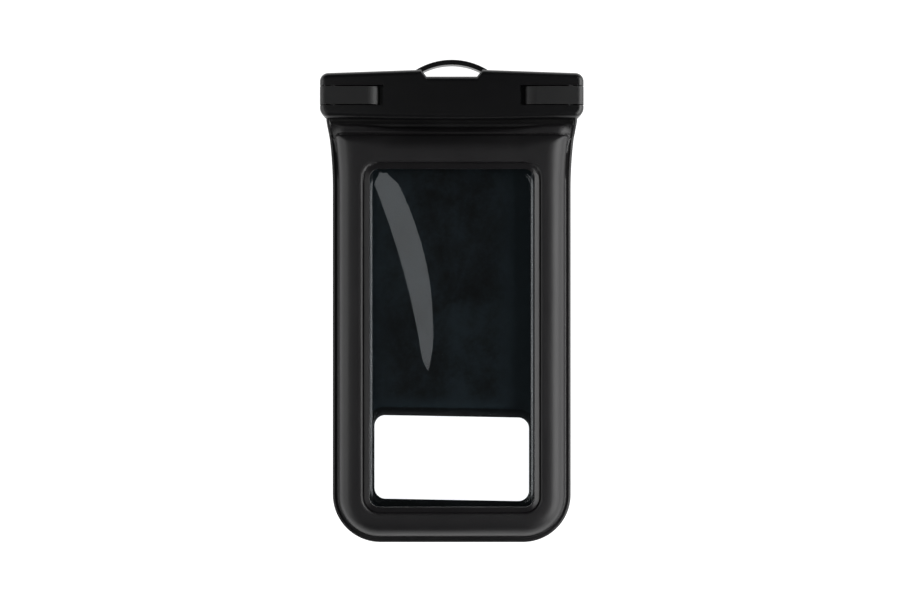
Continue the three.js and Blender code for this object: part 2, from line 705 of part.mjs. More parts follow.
// A silicone seal strip in its groove
function sealStrip(lowZ, highZ) {
  const outline = roundedRectangle(
    -sealHalf,
    sealLow,
    sealHalf,
    sealLow + SEAL_WIDTH,
    SEAL_END_RADIUS,
  );
  return toGeometry(toSolid(raised(outline, lowZ, highZ, ROUND_STEPS)));
}

// A strip that holds a film in a bar's mouth
function filmStrip(lowZ) {
  const half = MOUTH_WIDTH / 2 - FILM_GAP;
  const low = CLAMP_Y + BOTTOM_CROWN + FILM_GAP;
  const outline = roundedRectangle(-half, low, half, FILM_END, STRIP_THICKNESS / 2);
  return toGeometry(toSolid(raised(outline, lowZ, lowZ + STRIP_THICKNESS, ROUND_STEPS)));
}

// Assembly
const pouch = new THREE.Group();
pouch.position.y = -OVERALL_LENGTH / 2;

function place(name, geometry, material) {
  const mesh = new THREE.Mesh(geometry, material);
  mesh.name = name;
  pouch.add(mesh);
}

const rearSealLow = REAR_BAR_TOP - SEAL_GROOVE + FILM_GAP;
const frontSealHigh = FRONT_BAR_BACK + SEAL_GROOVE - FILM_GAP;

place('front_bar', frontBar(), barMaterial);
place('rear_bar', rearBar(), barMaterial);
place('latch_left', latch(-1), latchMaterial);
place('latch_right', latch(1), latchMaterial);
place('hinge_pin_left', hingePin(-1), pinMaterial);
place('hinge_pin_right', hingePin(1), pinMaterial);
place('front_seal', sealStrip(FRONT_BAR_BACK - SEAL_PROUD, frontSealHigh), sealMaterial);
place('rear_seal', sealStrip(rearSealLow, REAR_BAR_TOP + SEAL_PROUD), sealMaterial);
place('front_film_strip', filmStrip(FRONT_POCKET_FLOOR - FILM_GAP - STRIP_THICKNESS), barMaterial);
place('rear_film_strip', filmStrip(REAR_POCKET_FLOOR + FILM_GAP), barMaterial);
place('front_skin', frontSkin(), skinMaterial);
place('float_foam', floatFoam(), foamMaterial);
place('front_liner', frontLiner(), linerMaterial);
place('front_window', frontWindow(), clearMaterial);
place('rear_film', rearFilm(), panelMaterial);
place('rear_window', rearWindow(), clearMaterial);

const model = new THREE.Group();
model.add(pouch);

export default model;
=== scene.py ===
import math

import bmesh
import bpy
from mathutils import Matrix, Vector


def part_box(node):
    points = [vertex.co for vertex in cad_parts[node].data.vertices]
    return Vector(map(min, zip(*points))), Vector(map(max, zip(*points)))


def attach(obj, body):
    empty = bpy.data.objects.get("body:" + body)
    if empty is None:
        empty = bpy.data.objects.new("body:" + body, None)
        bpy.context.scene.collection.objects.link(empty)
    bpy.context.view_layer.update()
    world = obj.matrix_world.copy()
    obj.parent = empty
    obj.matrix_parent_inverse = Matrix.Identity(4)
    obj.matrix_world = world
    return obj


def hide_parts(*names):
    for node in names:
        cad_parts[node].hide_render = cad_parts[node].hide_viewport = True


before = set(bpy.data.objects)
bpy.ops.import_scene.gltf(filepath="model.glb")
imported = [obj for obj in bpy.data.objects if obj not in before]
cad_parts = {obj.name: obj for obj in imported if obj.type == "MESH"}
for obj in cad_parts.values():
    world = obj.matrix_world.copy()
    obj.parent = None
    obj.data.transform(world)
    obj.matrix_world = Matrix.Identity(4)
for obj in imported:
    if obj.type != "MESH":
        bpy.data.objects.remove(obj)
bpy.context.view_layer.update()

bl_info = {
    "name": "Waterproof phone pouch",
    "version": (1, 0, 0),
    "blender": (4, 5, 0),
    "location": "View3D > Sidebar > Pouch",
    "description": "Models a padded film pouch with a latched clamp around its packed frame",
    "category": "Add Mesh",
}

MM = 0.001
MAIN_BODY = "pouch"


def corners(node):
    """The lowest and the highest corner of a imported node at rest."""
    return [Vector(corner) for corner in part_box(node)]


FRONT_LOW, FRONT_HIGH = corners("front_bar")
REAR_LOW, REAR_HIGH = corners("rear_bar")
SKIN_LOW, SKIN_HIGH = corners("front_skin")
WINDOW_LOW, WINDOW_HIGH = corners("front_window")
CAMERA_LOW, CAMERA_HIGH = corners("rear_window")
LATCH_LOW, LATCH_HIGH = corners("latch_right")
PIN_LOW, PIN_HIGH = corners("hinge_pin_right")
PIN_X = (PIN_LOW.x + PIN_HIGH.x) / 2
PIN_Z = (PIN_LOW.z + PIN_HIGH.z) / 2
REAR_FILM_TOP = corners("rear_film")[1].z


# Sizes that stay as they are
HOLE_ASKEW = 0.018        # slope of the camera hole's long edges
CLEAR_Z = 20 * MM         # above every piece, where a cutter ends
PAST = 2 * MM             # how far a cutter reaches past what it cuts
MOUTH_HALF = 2.6 * MM     # how deep each bar is cut for the films
HOLE_RADIUS = 1.3 * MM    # of the holes round the hinge pins
BAR_GRAIN = 2600.0        # grains to a metre in the bars' plastic
FILM_GAP = 0.3 * MM       # between a film and the next one, or the foam


# Sizes and colours that a user would change

def length(name, text, default):
    """A length in metres, with its default given in millimetres."""
    return bpy.props.FloatProperty(name=name, description=text, default=default * MM, unit="LENGTH")


def colour(name, text, default):
    """A colour as a shader reads it."""
    return bpy.props.FloatVectorProperty(
        name=name, description=text, default=default, size=3, min=0, max=1, subtype="COLOR"
    )


class PouchBagSizes(bpy.types.PropertyGroup):
    """Sizes of the padded bag."""
    window_width: length("Window width", "Clear width inside the weld", 75)
    window_length: length("Window length", "Clear length inside the weld", 154)
    window_corner: length("Window corner", "Radius of the window's corners", 4.6)
    ring_width: length("Ring width", "From the bag's edge to the window", 17.3)
    flange_width: length("Flange width", "Flat welded edge outside the padding", 2.8)
    weld_width: length("Weld width", "Flat weld round the window", 2.9)
    crest_offset: length("Crest offset", "From the bag's edge to the top of the padding", 11.3)
    crest_lean: length("Crest lean", "How much nearer the window the top is on the right", 1.4)
    crest_sink: length("Crest sink", "How far the padding is pressed below its packed height", 0.6)
    weld_low: length("Weld foot", "Height of the weld where the padding ends", 9.6)
    weld_high: length("Weld lip", "Height of the weld at the window", 10.7)
    crease_drop: length("Crease drop", "How much narrower the ring is at its top", 1.2)
    crease_height: length("Crease height", "Height of the fold above the padding", 3.4)
    neck_length: length("Neck length", "From the padding to the clamp", 4.9)
    flare_length: length("Flare length", "Length over which the bag widens", 31)
    flare_width: length("Flare width", "How much each side widens", 2.5)
    skin_wall: length("Skin wall", "Thickness of the formed skin", 0.7)
    film_wall: length("Film wall", "Thickness of the rear film", 0.5)
    camera_weld: length("Camera weld", "Lap of the camera window on the rear film", 4)
    camera_corner: length("Camera corner", "Radius of the camera window's corners", 5)


class PouchClampSizes(bpy.types.PropertyGroup):
    """Sizes of the clamp and its latches."""
    top_crown: length("Top crown", "Rise of the top edge towards the notch", 1.6)
    bottom_crown: length("Bottom crown", "Drop of the bottom edge towards the middle", 1)
    top_corner: length("Top corner", "Radius of the top corners", 3.7)
    bottom_corner: length("Bottom corner", "Radius of the bottom corners", 4.5)
    front_round: length("Front rounding", "Rounding of the front rim", 2.8)
    rear_round: length("Rear rounding", "Rounding of the rear rim", 1)
    notch_floor: length("Notch floor", "Width of the notch's floor", 23)
    notch_chamfer: length("Notch chamfer", "Width of the notch's slanted ends", 2.4)
    notch_depth: length("Notch depth", "Depth of the notch", 3.1)
    rear_notch_extra: length("Rear notch", "How much wider each side of the rear notch is", 1.5)
    parting_gap: length("Parting gap", "Gap between the two bars", 0.6)
    mouth_depth: length("Mouth depth", "How far the films reach into the bars", 4.6)
    latch_gap: length("Latch gap", "Gap round a latch", 0.5)
    finger_recess: length("Finger recess", "Width of the recess beside a latch's nose", 2.9)
    recess_depth: length("Recess depth", "Depth of the finger recess", 3.9)
    arm_thickness: length("Arm thickness", "Thickness of a latch's arm", 2.7)
    arm_roll: length("Arm roll", "Length of the rolled nose of a latch", 5.6)
    nose_reach: length("Nose reach", "How far a nose reaches over its recess", 0.8)
    loop_span: length("Loop span", "Width of the strap loop at the bar's top", 35.2)
    loop_rise: length("Loop rise", "Height of the strap loop", 5.4)
    loop_wall: length("Loop wall", "Thickness of the strap loop", 2.3)
    loop_depth: length("Loop depth", "Depth of the strap loop", 6)


class PouchColours(bpy.types.PropertyGroup):
    """Colours of the pouch's materials."""
    clamp: colour("Clamp", "Black plastic of the two bars", (0.0036, 0.0036, 0.0041))
    latch: colour("Latch", "Black plastic of the latches", (0.0125, 0.0125, 0.013))
    skin: colour("Skin", "Black film of the padded ring", (0.0100, 0.0094, 0.0104))
    panel: colour("Panel", "Blue-black film of the back", (0.0039, 0.0066, 0.0084))
    liner: colour("Liner", "Black film under the padding", (0.010, 0.010, 0.011))
    foam: colour("Foam", "Grey foam in the padding", (0.03, 0.03, 0.031))
    seal: colour("Seal", "Grey silicone strips", (0.25, 0.26, 0.27))
    steel: colour("Steel", "Hinge pins", (0.55, 0.56, 0.57))
    floor: colour("Floor", "Pale floor", (0.86, 0.86, 0.86))


# Shader values as Python expressions

class Signal:
    """A shader value, vector or colour. Arithmetic on values adds Math nodes."""

    def __init__(self, look, socket):
        self.look = look
        self.socket = socket

    def maths(self, operation, *others):
        """One Math node on this value and the others."""
        return self.look.maths(operation, self, *others)

    def __add__(self, other):
        return self.maths("ADD", other)

    def __sub__(self, other):
        return self.maths("SUBTRACT", other)

    def __rsub__(self, other):
        return self.look.maths("SUBTRACT", other, self)

    def __mul__(self, other):
        return self.maths("MULTIPLY", other)

    def __pow__(self, other):
        return self.maths("POWER", other)

    __radd__ = __add__
    __rmul__ = __mul__

    def ramp(self, low, high, start=0.0, end=1.0):
        """This value mapped smoothly from one range to another and held inside it."""
        return self.look.node(
            "ShaderNodeMapRange",
            {"interpolation_type": "SMOOTHSTEP", "clamp": True},
            {"Value": self, "From Min": low, "From Max": high, "To Min": start, "To Max": end},
            out="Result",
        )


class Look:
    """The nodes of a new material, given by its name, or of the world."""

    def __init__(self, owner):
        if isinstance(owner, str):
            owner = bpy.data.materials.new(owner)
        owner.use_nodes = True
        self.owner = owner
        self.tree = owner.node_tree
        self.tree.nodes.clear()

    def node(self, kind, settings=None, inputs=None, out=None):
        """Any node, with its settings made first and then its sockets filled or linked."""
        made = self.tree.nodes.new(kind)
        for key, value in (settings or {}).items():
            setattr(made, key, value)
        for key, value in (inputs or {}).items():
            if isinstance(value, Signal):
                self.tree.links.new(value.socket, made.inputs[key])
            else:
                made.inputs[key].default_value = value
        return made if out is None else Signal(self, made.outputs[out])

    def maths(self, operation, *values):
        """A Math node."""
        inputs = dict(enumerate(values))
        return self.node("ShaderNodeMath", {"operation": operation}, inputs, out="Value")

    def place(self):
        """Object coordinates, in metres."""
        return self.node("ShaderNodeTexCoord", out="Object")

    def parts(self, vector):
        """The X, Y and Z of a vector."""
        made = self.node("ShaderNodeSeparateXYZ", None, {"Vector": vector})
        return [Signal(self, made.outputs[axis]) for axis in "XYZ"]

    def attribute(self, name):
        """A number that the mesh carries at its points."""
        return self.node("ShaderNodeAttribute", {"attribute_name": name}, out="Fac")

    def rays(self, *kinds):
        """1 for each of the kinds of ray that the shader is being asked about."""
        path = self.node("ShaderNodeLightPath")
        return [Signal(self, path.outputs[f"Is {kind} Ray"]) for kind in kinds]

    def stretched(self, scale, turn=0.0):
        """Object coordinates scaled by an amount for each axis."""
        inputs = {"Vector": self.place(), "Scale": scale, "Rotation": (0, 0, turn)}
        return self.node("ShaderNodeMapping", None, inputs, out="Vector")

    def noise(self, where, scale=1.0, detail=3.0, rough=0.55):
        """Cloudy noise between 0 and 1."""
        inputs = {"Vector": where, "Scale": scale, "Detail": detail, "Roughness": rough}
        return self.node("ShaderNodeTexNoise", None, inputs, out="Fac")

    def cells(self, where, scale):
        """Distance to the nearest of scattered points."""
        inputs = {"Vector": where, "Scale": scale}
        return self.node("ShaderNodeTexVoronoi", None, inputs, out="Distance")

    def blend(self, share, first, second):
        """A colour between two colours."""
        inputs = {0: share, 6: first, 7: second}
        return self.node("ShaderNodeMix", {"data_type": "RGBA"}, inputs, out=2)

    def tones(self, share, tone, low, high):
        """A colour between a darker and a lighter shade of one tone."""
        return self.blend(share, shade(tone, low), shade(tone, high))

    def bump(self, height, distance, over=None):
        """A normal bent by a height between 0 and 1 over a distance in metres."""
        inputs = {"Height": height, "Distance": distance, "Strength": 1.0}
        if over is not None:
            inputs["Normal"] = over
        return self.node("ShaderNodeBump", None, inputs, out="Normal")

    def surface(self, inputs):
        """A Principled shader."""
        return self.node("ShaderNodeBsdfPrincipled", None, inputs, out="BSDF")

    def mix(self, share, first, second):
        """A shader between two shaders."""
        return self.node("ShaderNodeMixShader", None, {0: share, 1: first, 2: second}, out="Shader")

    def finish(self, shader, kind="ShaderNodeOutputMaterial"):
        """Sends a shader to the output and returns what owns the nodes."""
        self.node(kind, None, {"Surface": shader})
        return self.owner


def shade(tone, factor):
    """A colour made lighter or darker, with its alpha."""
    return (*(min(part * factor, 1.0) for part in tone), 1.0)


# Materials

def moulded_plastic(name, tone, roughness, grain_scale, grain_height):
    """Black moulded plastic with a spark-eroded grain, faint flow marks and rubbed spots."""
    look = Look(name)
    place = look.place()
    grain = look.noise(place, grain_scale, detail=2.0, rough=0.6)
    fine = look.cells(place, grain_scale * 1.7)
    flow = look.noise(look.stretched((14, 40, 40)))
    rubbed = look.noise(place, 130.0, detail=4.0, rough=0.7).ramp(0.56, 0.78)
    return look.finish(look.surface({
        "Base Color": look.tones(flow, tone, 0.86, 1.16),
        "Roughness": (flow - 0.5) * 0.08 + rubbed * 0.05 + roughness,
        "IOR": 1.52,
        "Normal": look.bump(grain * 0.7 + fine * 0.3, grain_height),
    }))


def formed_film(name, tone, roughness, wave):
    """Soft formed film, pebbled and slowly waved, glossier on its weld, and darkened by painted shade in
    the folds at the clamp and along the crease.
    """
    look = Look(name)
    place = look.place()
    weld = look.attribute("weld")
    # Painted shade: this point attribute marks where the colour is darkened towards near black, in the
    # folds at the clamp and along the crease
    folded = look.attribute("folded")
    pebble = look.cells(place, 1900.0)
    fleck = look.noise(place, 700.0, rough=0.6)
    slow = look.noise(place, 34.0, detail=2.0, rough=0.5)
    cloud = look.noise(place, 60.0)
    grain = (pebble * 0.35 + fleck * 0.65) * (1.0 - weld * 0.6) * (1.0 - folded * 0.9)
    uneven = (cloud - 0.5) * 0.12 + (fleck - 0.5) * 0.08
    return look.finish(look.surface({
        # Base colour darkened towards near black by the painted fold shade
        "Base Color": look.blend(folded * 0.9, look.tones(cloud, tone, 0.85, 1.18), shade(tone, 0.05)),
        "Roughness": uneven - weld * 0.10 - folded * 0.12 + roughness,
        "IOR": 1.5,
        "Normal": look.bump(slow * (1.0 - folded * 0.8), wave, over=look.bump(grain, 0.04 * MM)),
    }))


def panel_film(name, tone, hole_x, hole_low, hole_high, arc, lap):
    """Blue-black rear film, mottled and dusty, darker on its lap round the camera hole, with painted
    reflection towards its sides and a painted highlight above the lap.
    """
    look = Look(name)
    place = look.place()
    x, y, _ = look.parts(place)
    y = y + x * HOLE_ASKEW
    facing = look.node("ShaderNodeNewGeometry", out="Normal")
    inner_face = look.parts(facing)[2].ramp(0.0, 0.3)
    # How far a place is from the hole's edge, with the hole's round corners
    middle = (hole_low + hole_high) / 2
    reach_x = (x.maths("ABSOLUTE") - (hole_x - arc)).maths("MAXIMUM", 0.0)
    reach_y = ((y - middle).maths("ABSOLUTE") - (hole_high - middle - arc)).maths("MAXIMUM", 0.0)
    away = (reach_x * reach_x + reach_y * reach_y).maths("SQRT") - arc
    band = away.ramp(lap, lap + 0.4 * MM, 1.0, 0.0)
    above = y.ramp(hole_high, hole_high + 2 * MM)
    # Painted highlight: a lighter band on the top face just above the camera hole's lap
    painted_lap_highlight = away.ramp(lap, lap + 0.8 * MM) * away.ramp(lap + 1 * MM, lap + 7 * MM, 1.0, 0.0)
    # Painted reflection: the top face made lighter towards its right side, and a little towards its left
    # side
    painted_side_light = x.ramp(16 * MM, 36 * MM) + x.ramp(-36 * MM, -20 * MM, 0.4, 0.0)
    mottle = look.noise(place, 46.0, detail=6.0, rough=0.68)
    drag = look.noise(look.stretched((28, 9, 28)), detail=5.0, rough=0.65)
    dust = look.noise(place, 2400.0, detail=1.0).ramp(0.74, 0.80)
    fine = look.noise(place, 420.0, detail=4.0, rough=0.7)
    plain = look.tones((mottle * 0.5 + drag * 0.3 + fine * 0.2).ramp(0.38, 0.62), tone, 0.15, 2.3)
    # Painted reflection on the sides, on the top face only
    plain = look.blend(painted_side_light * inner_face * 0.85, plain, shade(tone, 4.2))
    # Painted highlight above the lap, on the top face only
    plain = look.blend(painted_lap_highlight * above * inner_face * 0.8, plain, shade(tone, 3.0))
    plain = look.blend(band * 0.7, plain, shade(tone, 0.1))
    pitted = mottle * 0.5 + look.noise(place, 900.0, detail=2.0) * 0.5
    return look.finish(look.surface({
        "Base Color": look.blend(dust * 0.12, plain, (0.16, 0.17, 0.18, 1.0)),
        "Roughness": (mottle - 0.5) * 0.14 + 0.38,
        "IOR": 1.32,
        "Normal": look.bump(pitted, 0.08 * MM),
    }))


def clear_film(name, strength, roughness, wave, haze_from):
    """Clear film that mirrors by angle, is hazy at its formed edge and shows what is behind it."""
    look = Look(name)
    place = look.place()
    across, _, _ = look.parts(place)
    haze = across.maths("ABSOLUTE").ramp(haze_from - 0.4 * MM, haze_from)
    bright_line = across.ramp(haze_from, haze_from + 0.3 * MM)
    bright_line = bright_line - across.ramp(haze_from + 0.5 * MM, haze_from + 0.8 * MM)
    facing = look.node("ShaderNodeLayerWeight", None, {"Blend": 0.5}, out="Facing")
    mirror = (facing ** 5.0) * 0.9 + bright_line * 0.16 + strength
    smear = look.noise(look.stretched((40, 16, 40), 0.4), detail=4.0, rough=0.6)
    scuff = look.noise(look.stretched((900, 60, 900), 0.7), detail=2.0).ramp(0.70, 0.76)
    gloss = look.surface({
        "Base Color": (0.93, 0.97, 1.0, 1.0),
        "Metallic": 1.0,
        "Roughness": smear * 0.05 + scuff * 0.10 + haze * 0.30 + roughness,
        "Normal": look.bump(look.noise(place, 40.0, detail=2.0, rough=0.5), wave),
    })
    tint = {"Color": (0.992, 0.997, 1.0, 1.0)}
    through = look.node("ShaderNodeBsdfTransparent", None, tint, out="BSDF")
    return look.finish(look.mix(mirror, through, gloss))


def turned_steel(name, tone):
    """Drawn steel wire with fine turning lines."""
    look = Look(name)
    rings = look.noise(look.stretched((200, 5200, 200)), detail=2.0)
    return look.finish(look.surface({
        "Base Color": look.tones(rings, tone, 0.82, 1.1),
        "Metallic": 1.0,
        "Roughness": rings * 0.12 + 0.24,
        "Normal": look.bump(rings, 0.01 * MM),
    }))


def soft_rubber(name, tone):
    """Matte silicone with a dusty bloom."""
    look = Look(name)
    place = look.place()
    bloom = look.noise(place, 240.0, detail=4.0, rough=0.6)
    return look.finish(look.surface({
        "Base Color": look.tones(bloom, tone, 0.85, 1.12),
        "Roughness": bloom * 0.15 + 0.55,
        "Normal": look.bump(look.noise(place, 2600.0, detail=2.0), 0.03 * MM),
    }))


def cell_foam(name, tone):
    """Closed-cell foam with a pitted cut face."""
    look = Look(name)
    pits = look.cells(look.place(), 1300.0)
    return look.finish(look.surface({
        "Base Color": look.tones(pits, tone, 0.6, 1.3),
        "Roughness": 0.95,
        "Normal": look.bump(pits, 0.2 * MM),
    }))


# Modelling helpers

def alone(piece=None):
    """Deselects everything, then selects one object and makes it active."""
    if bpy.context.object and bpy.context.object.mode != "OBJECT":
        bpy.ops.object.mode_set(mode="OBJECT")
    bpy.ops.object.select_all(action="DESELECT")
    if piece is not None:
        piece.select_set(True)
        bpy.context.view_layer.objects.active = piece


def editing(piece):
    """Opens one object for editing."""
    alone(piece)
    bpy.ops.object.mode_set(mode="EDIT")


def pick(piece, kind, test):
    """Selects the vertices, edges or faces that a test accepts, and says how many."""
    bpy.context.tool_settings.mesh_select_mode = (kind == "verts", kind == "edges", kind == "faces")
    shape = bmesh.from_edit_mesh(piece.data)
    for group in (shape.verts, shape.edges, shape.faces):
        for part in group:
            part.select = False
    chosen = [part for part in getattr(shape, kind) if test(part)]
    for part in chosen:
        part.select_set(True)
    bmesh.update_edit_mesh(piece.data)
    return len(chosen)


def shift(piece, test, move):
    """Moves the vertices that a test accepts."""
    if pick(piece, "verts", test):
        bpy.ops.transform.translate(value=move)


def slice_at(place, normal):
    """Cuts new edges through the whole mesh in edit mode along a plane."""
    bpy.ops.mesh.select_all(action="SELECT")
    bpy.ops.mesh.bisect(plane_co=place, plane_no=normal)


def near(value, target, within=0.00002):
    return abs(value - target) < within


def settle(piece):
    """Puts a piece's place, turn and scale into its mesh."""
    alone(piece)
    bpy.ops.object.transform_apply(location=True, rotation=True, scale=True)


def added(name, size=(1, 1, 1)):
    """The primitive just added, with its name, and with its size and place in its mesh."""
    piece = bpy.context.object
    piece.name = name
    piece.scale = size
    settle(piece)
    return piece


def block(name, low, high):
    """A box between two corners."""
    alone()
    low, high = Vector(low), Vector(high)
    bpy.ops.mesh.primitive_cube_add(size=1, location=(low + high) / 2)
    return added(name, high - low)


def side_block(name, side, x_ends, y_ends, z_ends):
    """A box on one side of the pouch, from its places on the right side."""
    x_ends = sorted(side * x for x in x_ends)
    return block(name, *zip(x_ends, y_ends, z_ends))


def rod(name, radius, depth, place, sides):
    """A round bar along Y."""
    alone()
    bpy.ops.mesh.primitive_cylinder_add(
        vertices=sides, radius=radius, depth=depth, location=place, rotation=(math.pi / 2, 0, 0)
    )
    return added(name)


def face_outwards():
    """Turns every face of the mesh in edit mode outwards."""
    bpy.ops.mesh.select_all(action="SELECT")
    bpy.ops.mesh.normals_make_consistent(inside=False)


def combine(piece, tool, operation):
    """Cuts, joins or intersects a piece with a tool, which goes away."""
    alone(piece)
    step = piece.modifiers.new(operation, "BOOLEAN")
    step.operation = operation
    step.solver = "MANIFOLD"
    step.object = tool
    bpy.ops.object.modifier_apply(modifier=step.name)
    bpy.data.objects.remove(tool, do_unlink=True)


def apply_modifier(piece, kind, **settings):
    """Adds a modifier with its settings and applies it."""
    alone(piece)
    step = piece.modifiers.new(kind.title(), kind)
    for key, value in settings.items():
        setattr(step, key, value)
    bpy.ops.object.modifier_apply(modifier=step.name)


def soften(piece, width, steps, angle=0.6):
    """Rounds every sharp edge a little, then shades flat faces flat."""
    apply_modifier(
        piece, "BEVEL", width=width, segments=steps, limit_method="ANGLE", angle_limit=angle,
        use_clamp_overlap=True, miter_outer="MITER_ARC",
    )
    alone(piece)
    bpy.ops.object.shade_smooth_by_angle(angle=0.7)
    apply_modifier(piece, "WEIGHTED_NORMAL", keep_sharp=True, weight=90)


def dress(piece, body, slot, material, *nodes):
    """Gives a piece its material and body, and hides the nodes that it stands for; its slot is not used.
    """
    piece.data.materials.clear()
    piece.data.materials.append(material)
    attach(piece, body)
    if nodes:
        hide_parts(*nodes)


def paint_node(node, material):
    """Gives a kept node a procedural material."""
    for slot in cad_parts[node].material_slots:
        slot.link = "OBJECT"
        slot.material = material


def mesh_from(name, points, faces):
    """A smooth mesh object from points and faces, merged where points meet."""
    mesh = bpy.data.meshes.new(name)
    mesh.from_pydata([tuple(point) for point in points], [], faces)
    piece = bpy.data.objects.new(name, mesh)
    bpy.context.scene.collection.objects.link(piece)
    shape = bmesh.new()
    shape.from_mesh(mesh)
    bmesh.ops.remove_doubles(shape, verts=shape.verts, dist=0.000002)
    bmesh.ops.dissolve_degenerate(shape, edges=shape.edges, dist=0.000001)
    bmesh.ops.recalc_face_normals(shape, faces=shape.faces)
    shape.to_mesh(mesh)
    shape.free()
    mesh.shade_smooth()
    return piece


def ring_through(name, sections):
    """A closed ring through equal sections, each a closed loop of points."""
    count = len(sections[0])
    points = [point for section in sections for point in section]
    faces = []
    for s in range(len(sections)):
        following = (s + 1) % len(sections)
        for p in range(count):
            beside = (p + 1) % count
            faces.append((
                s * count + p, following * count + p, following * count + beside, s * count + beside,
            ))
    return mesh_from(name, points, faces)


# The bag's outline and heights

def held(value):
    """A value held between 0 and 1."""
    return min(max(value, 0.0), 1.0)


def ease(value):
    """A smooth step from 0 to 1."""
    value = held(value)
    return value * value * (3 - 2 * value)


def hump(value, centre, width):
    """A smooth hump, 1 high at its centre."""
    return math.exp(-((value - centre) / width) ** 2)


def flank(share, power, root):
    """A rise from 0 to 1 that starts steep and ends level."""
    return (1 - (1 - share) ** power) ** root


def toward(outer, inner, share):
    """The place a share of the way from one point to another."""
    return outer[0] + (inner[0] - outer[0]) * share, outer[1] + (inner[1] - outer[1]) * share


def quarter(start, steps):
    """Angles over a quarter turn, in equal steps."""
    return [start + math.pi / 2 * i / steps for i in range(steps + 1)]


def on_arc(centre, radius, angle):
    """A point on a circle."""
    return centre[0] + radius * math.cos(angle), centre[1] + radius * math.sin(angle)


def round_gap(x, y, half_x, half_y, arc):
    """Distance outside a rounded rectangle about the origin, and less than 0 inside it."""
    return math.hypot(max(abs(x) - (half_x - arc), 0.0), max(abs(y) - (half_y - arc), 0.0)) - arc


def both_halves(half):
    """Half an outline, from the middle of one end to the middle of the other, and its mirror."""
    return half + [
        ((-outer[0], outer[1]), (-inner[0], inner[1]), *rest)
        for outer, inner, *rest in reversed(half[1:-1])
    ]


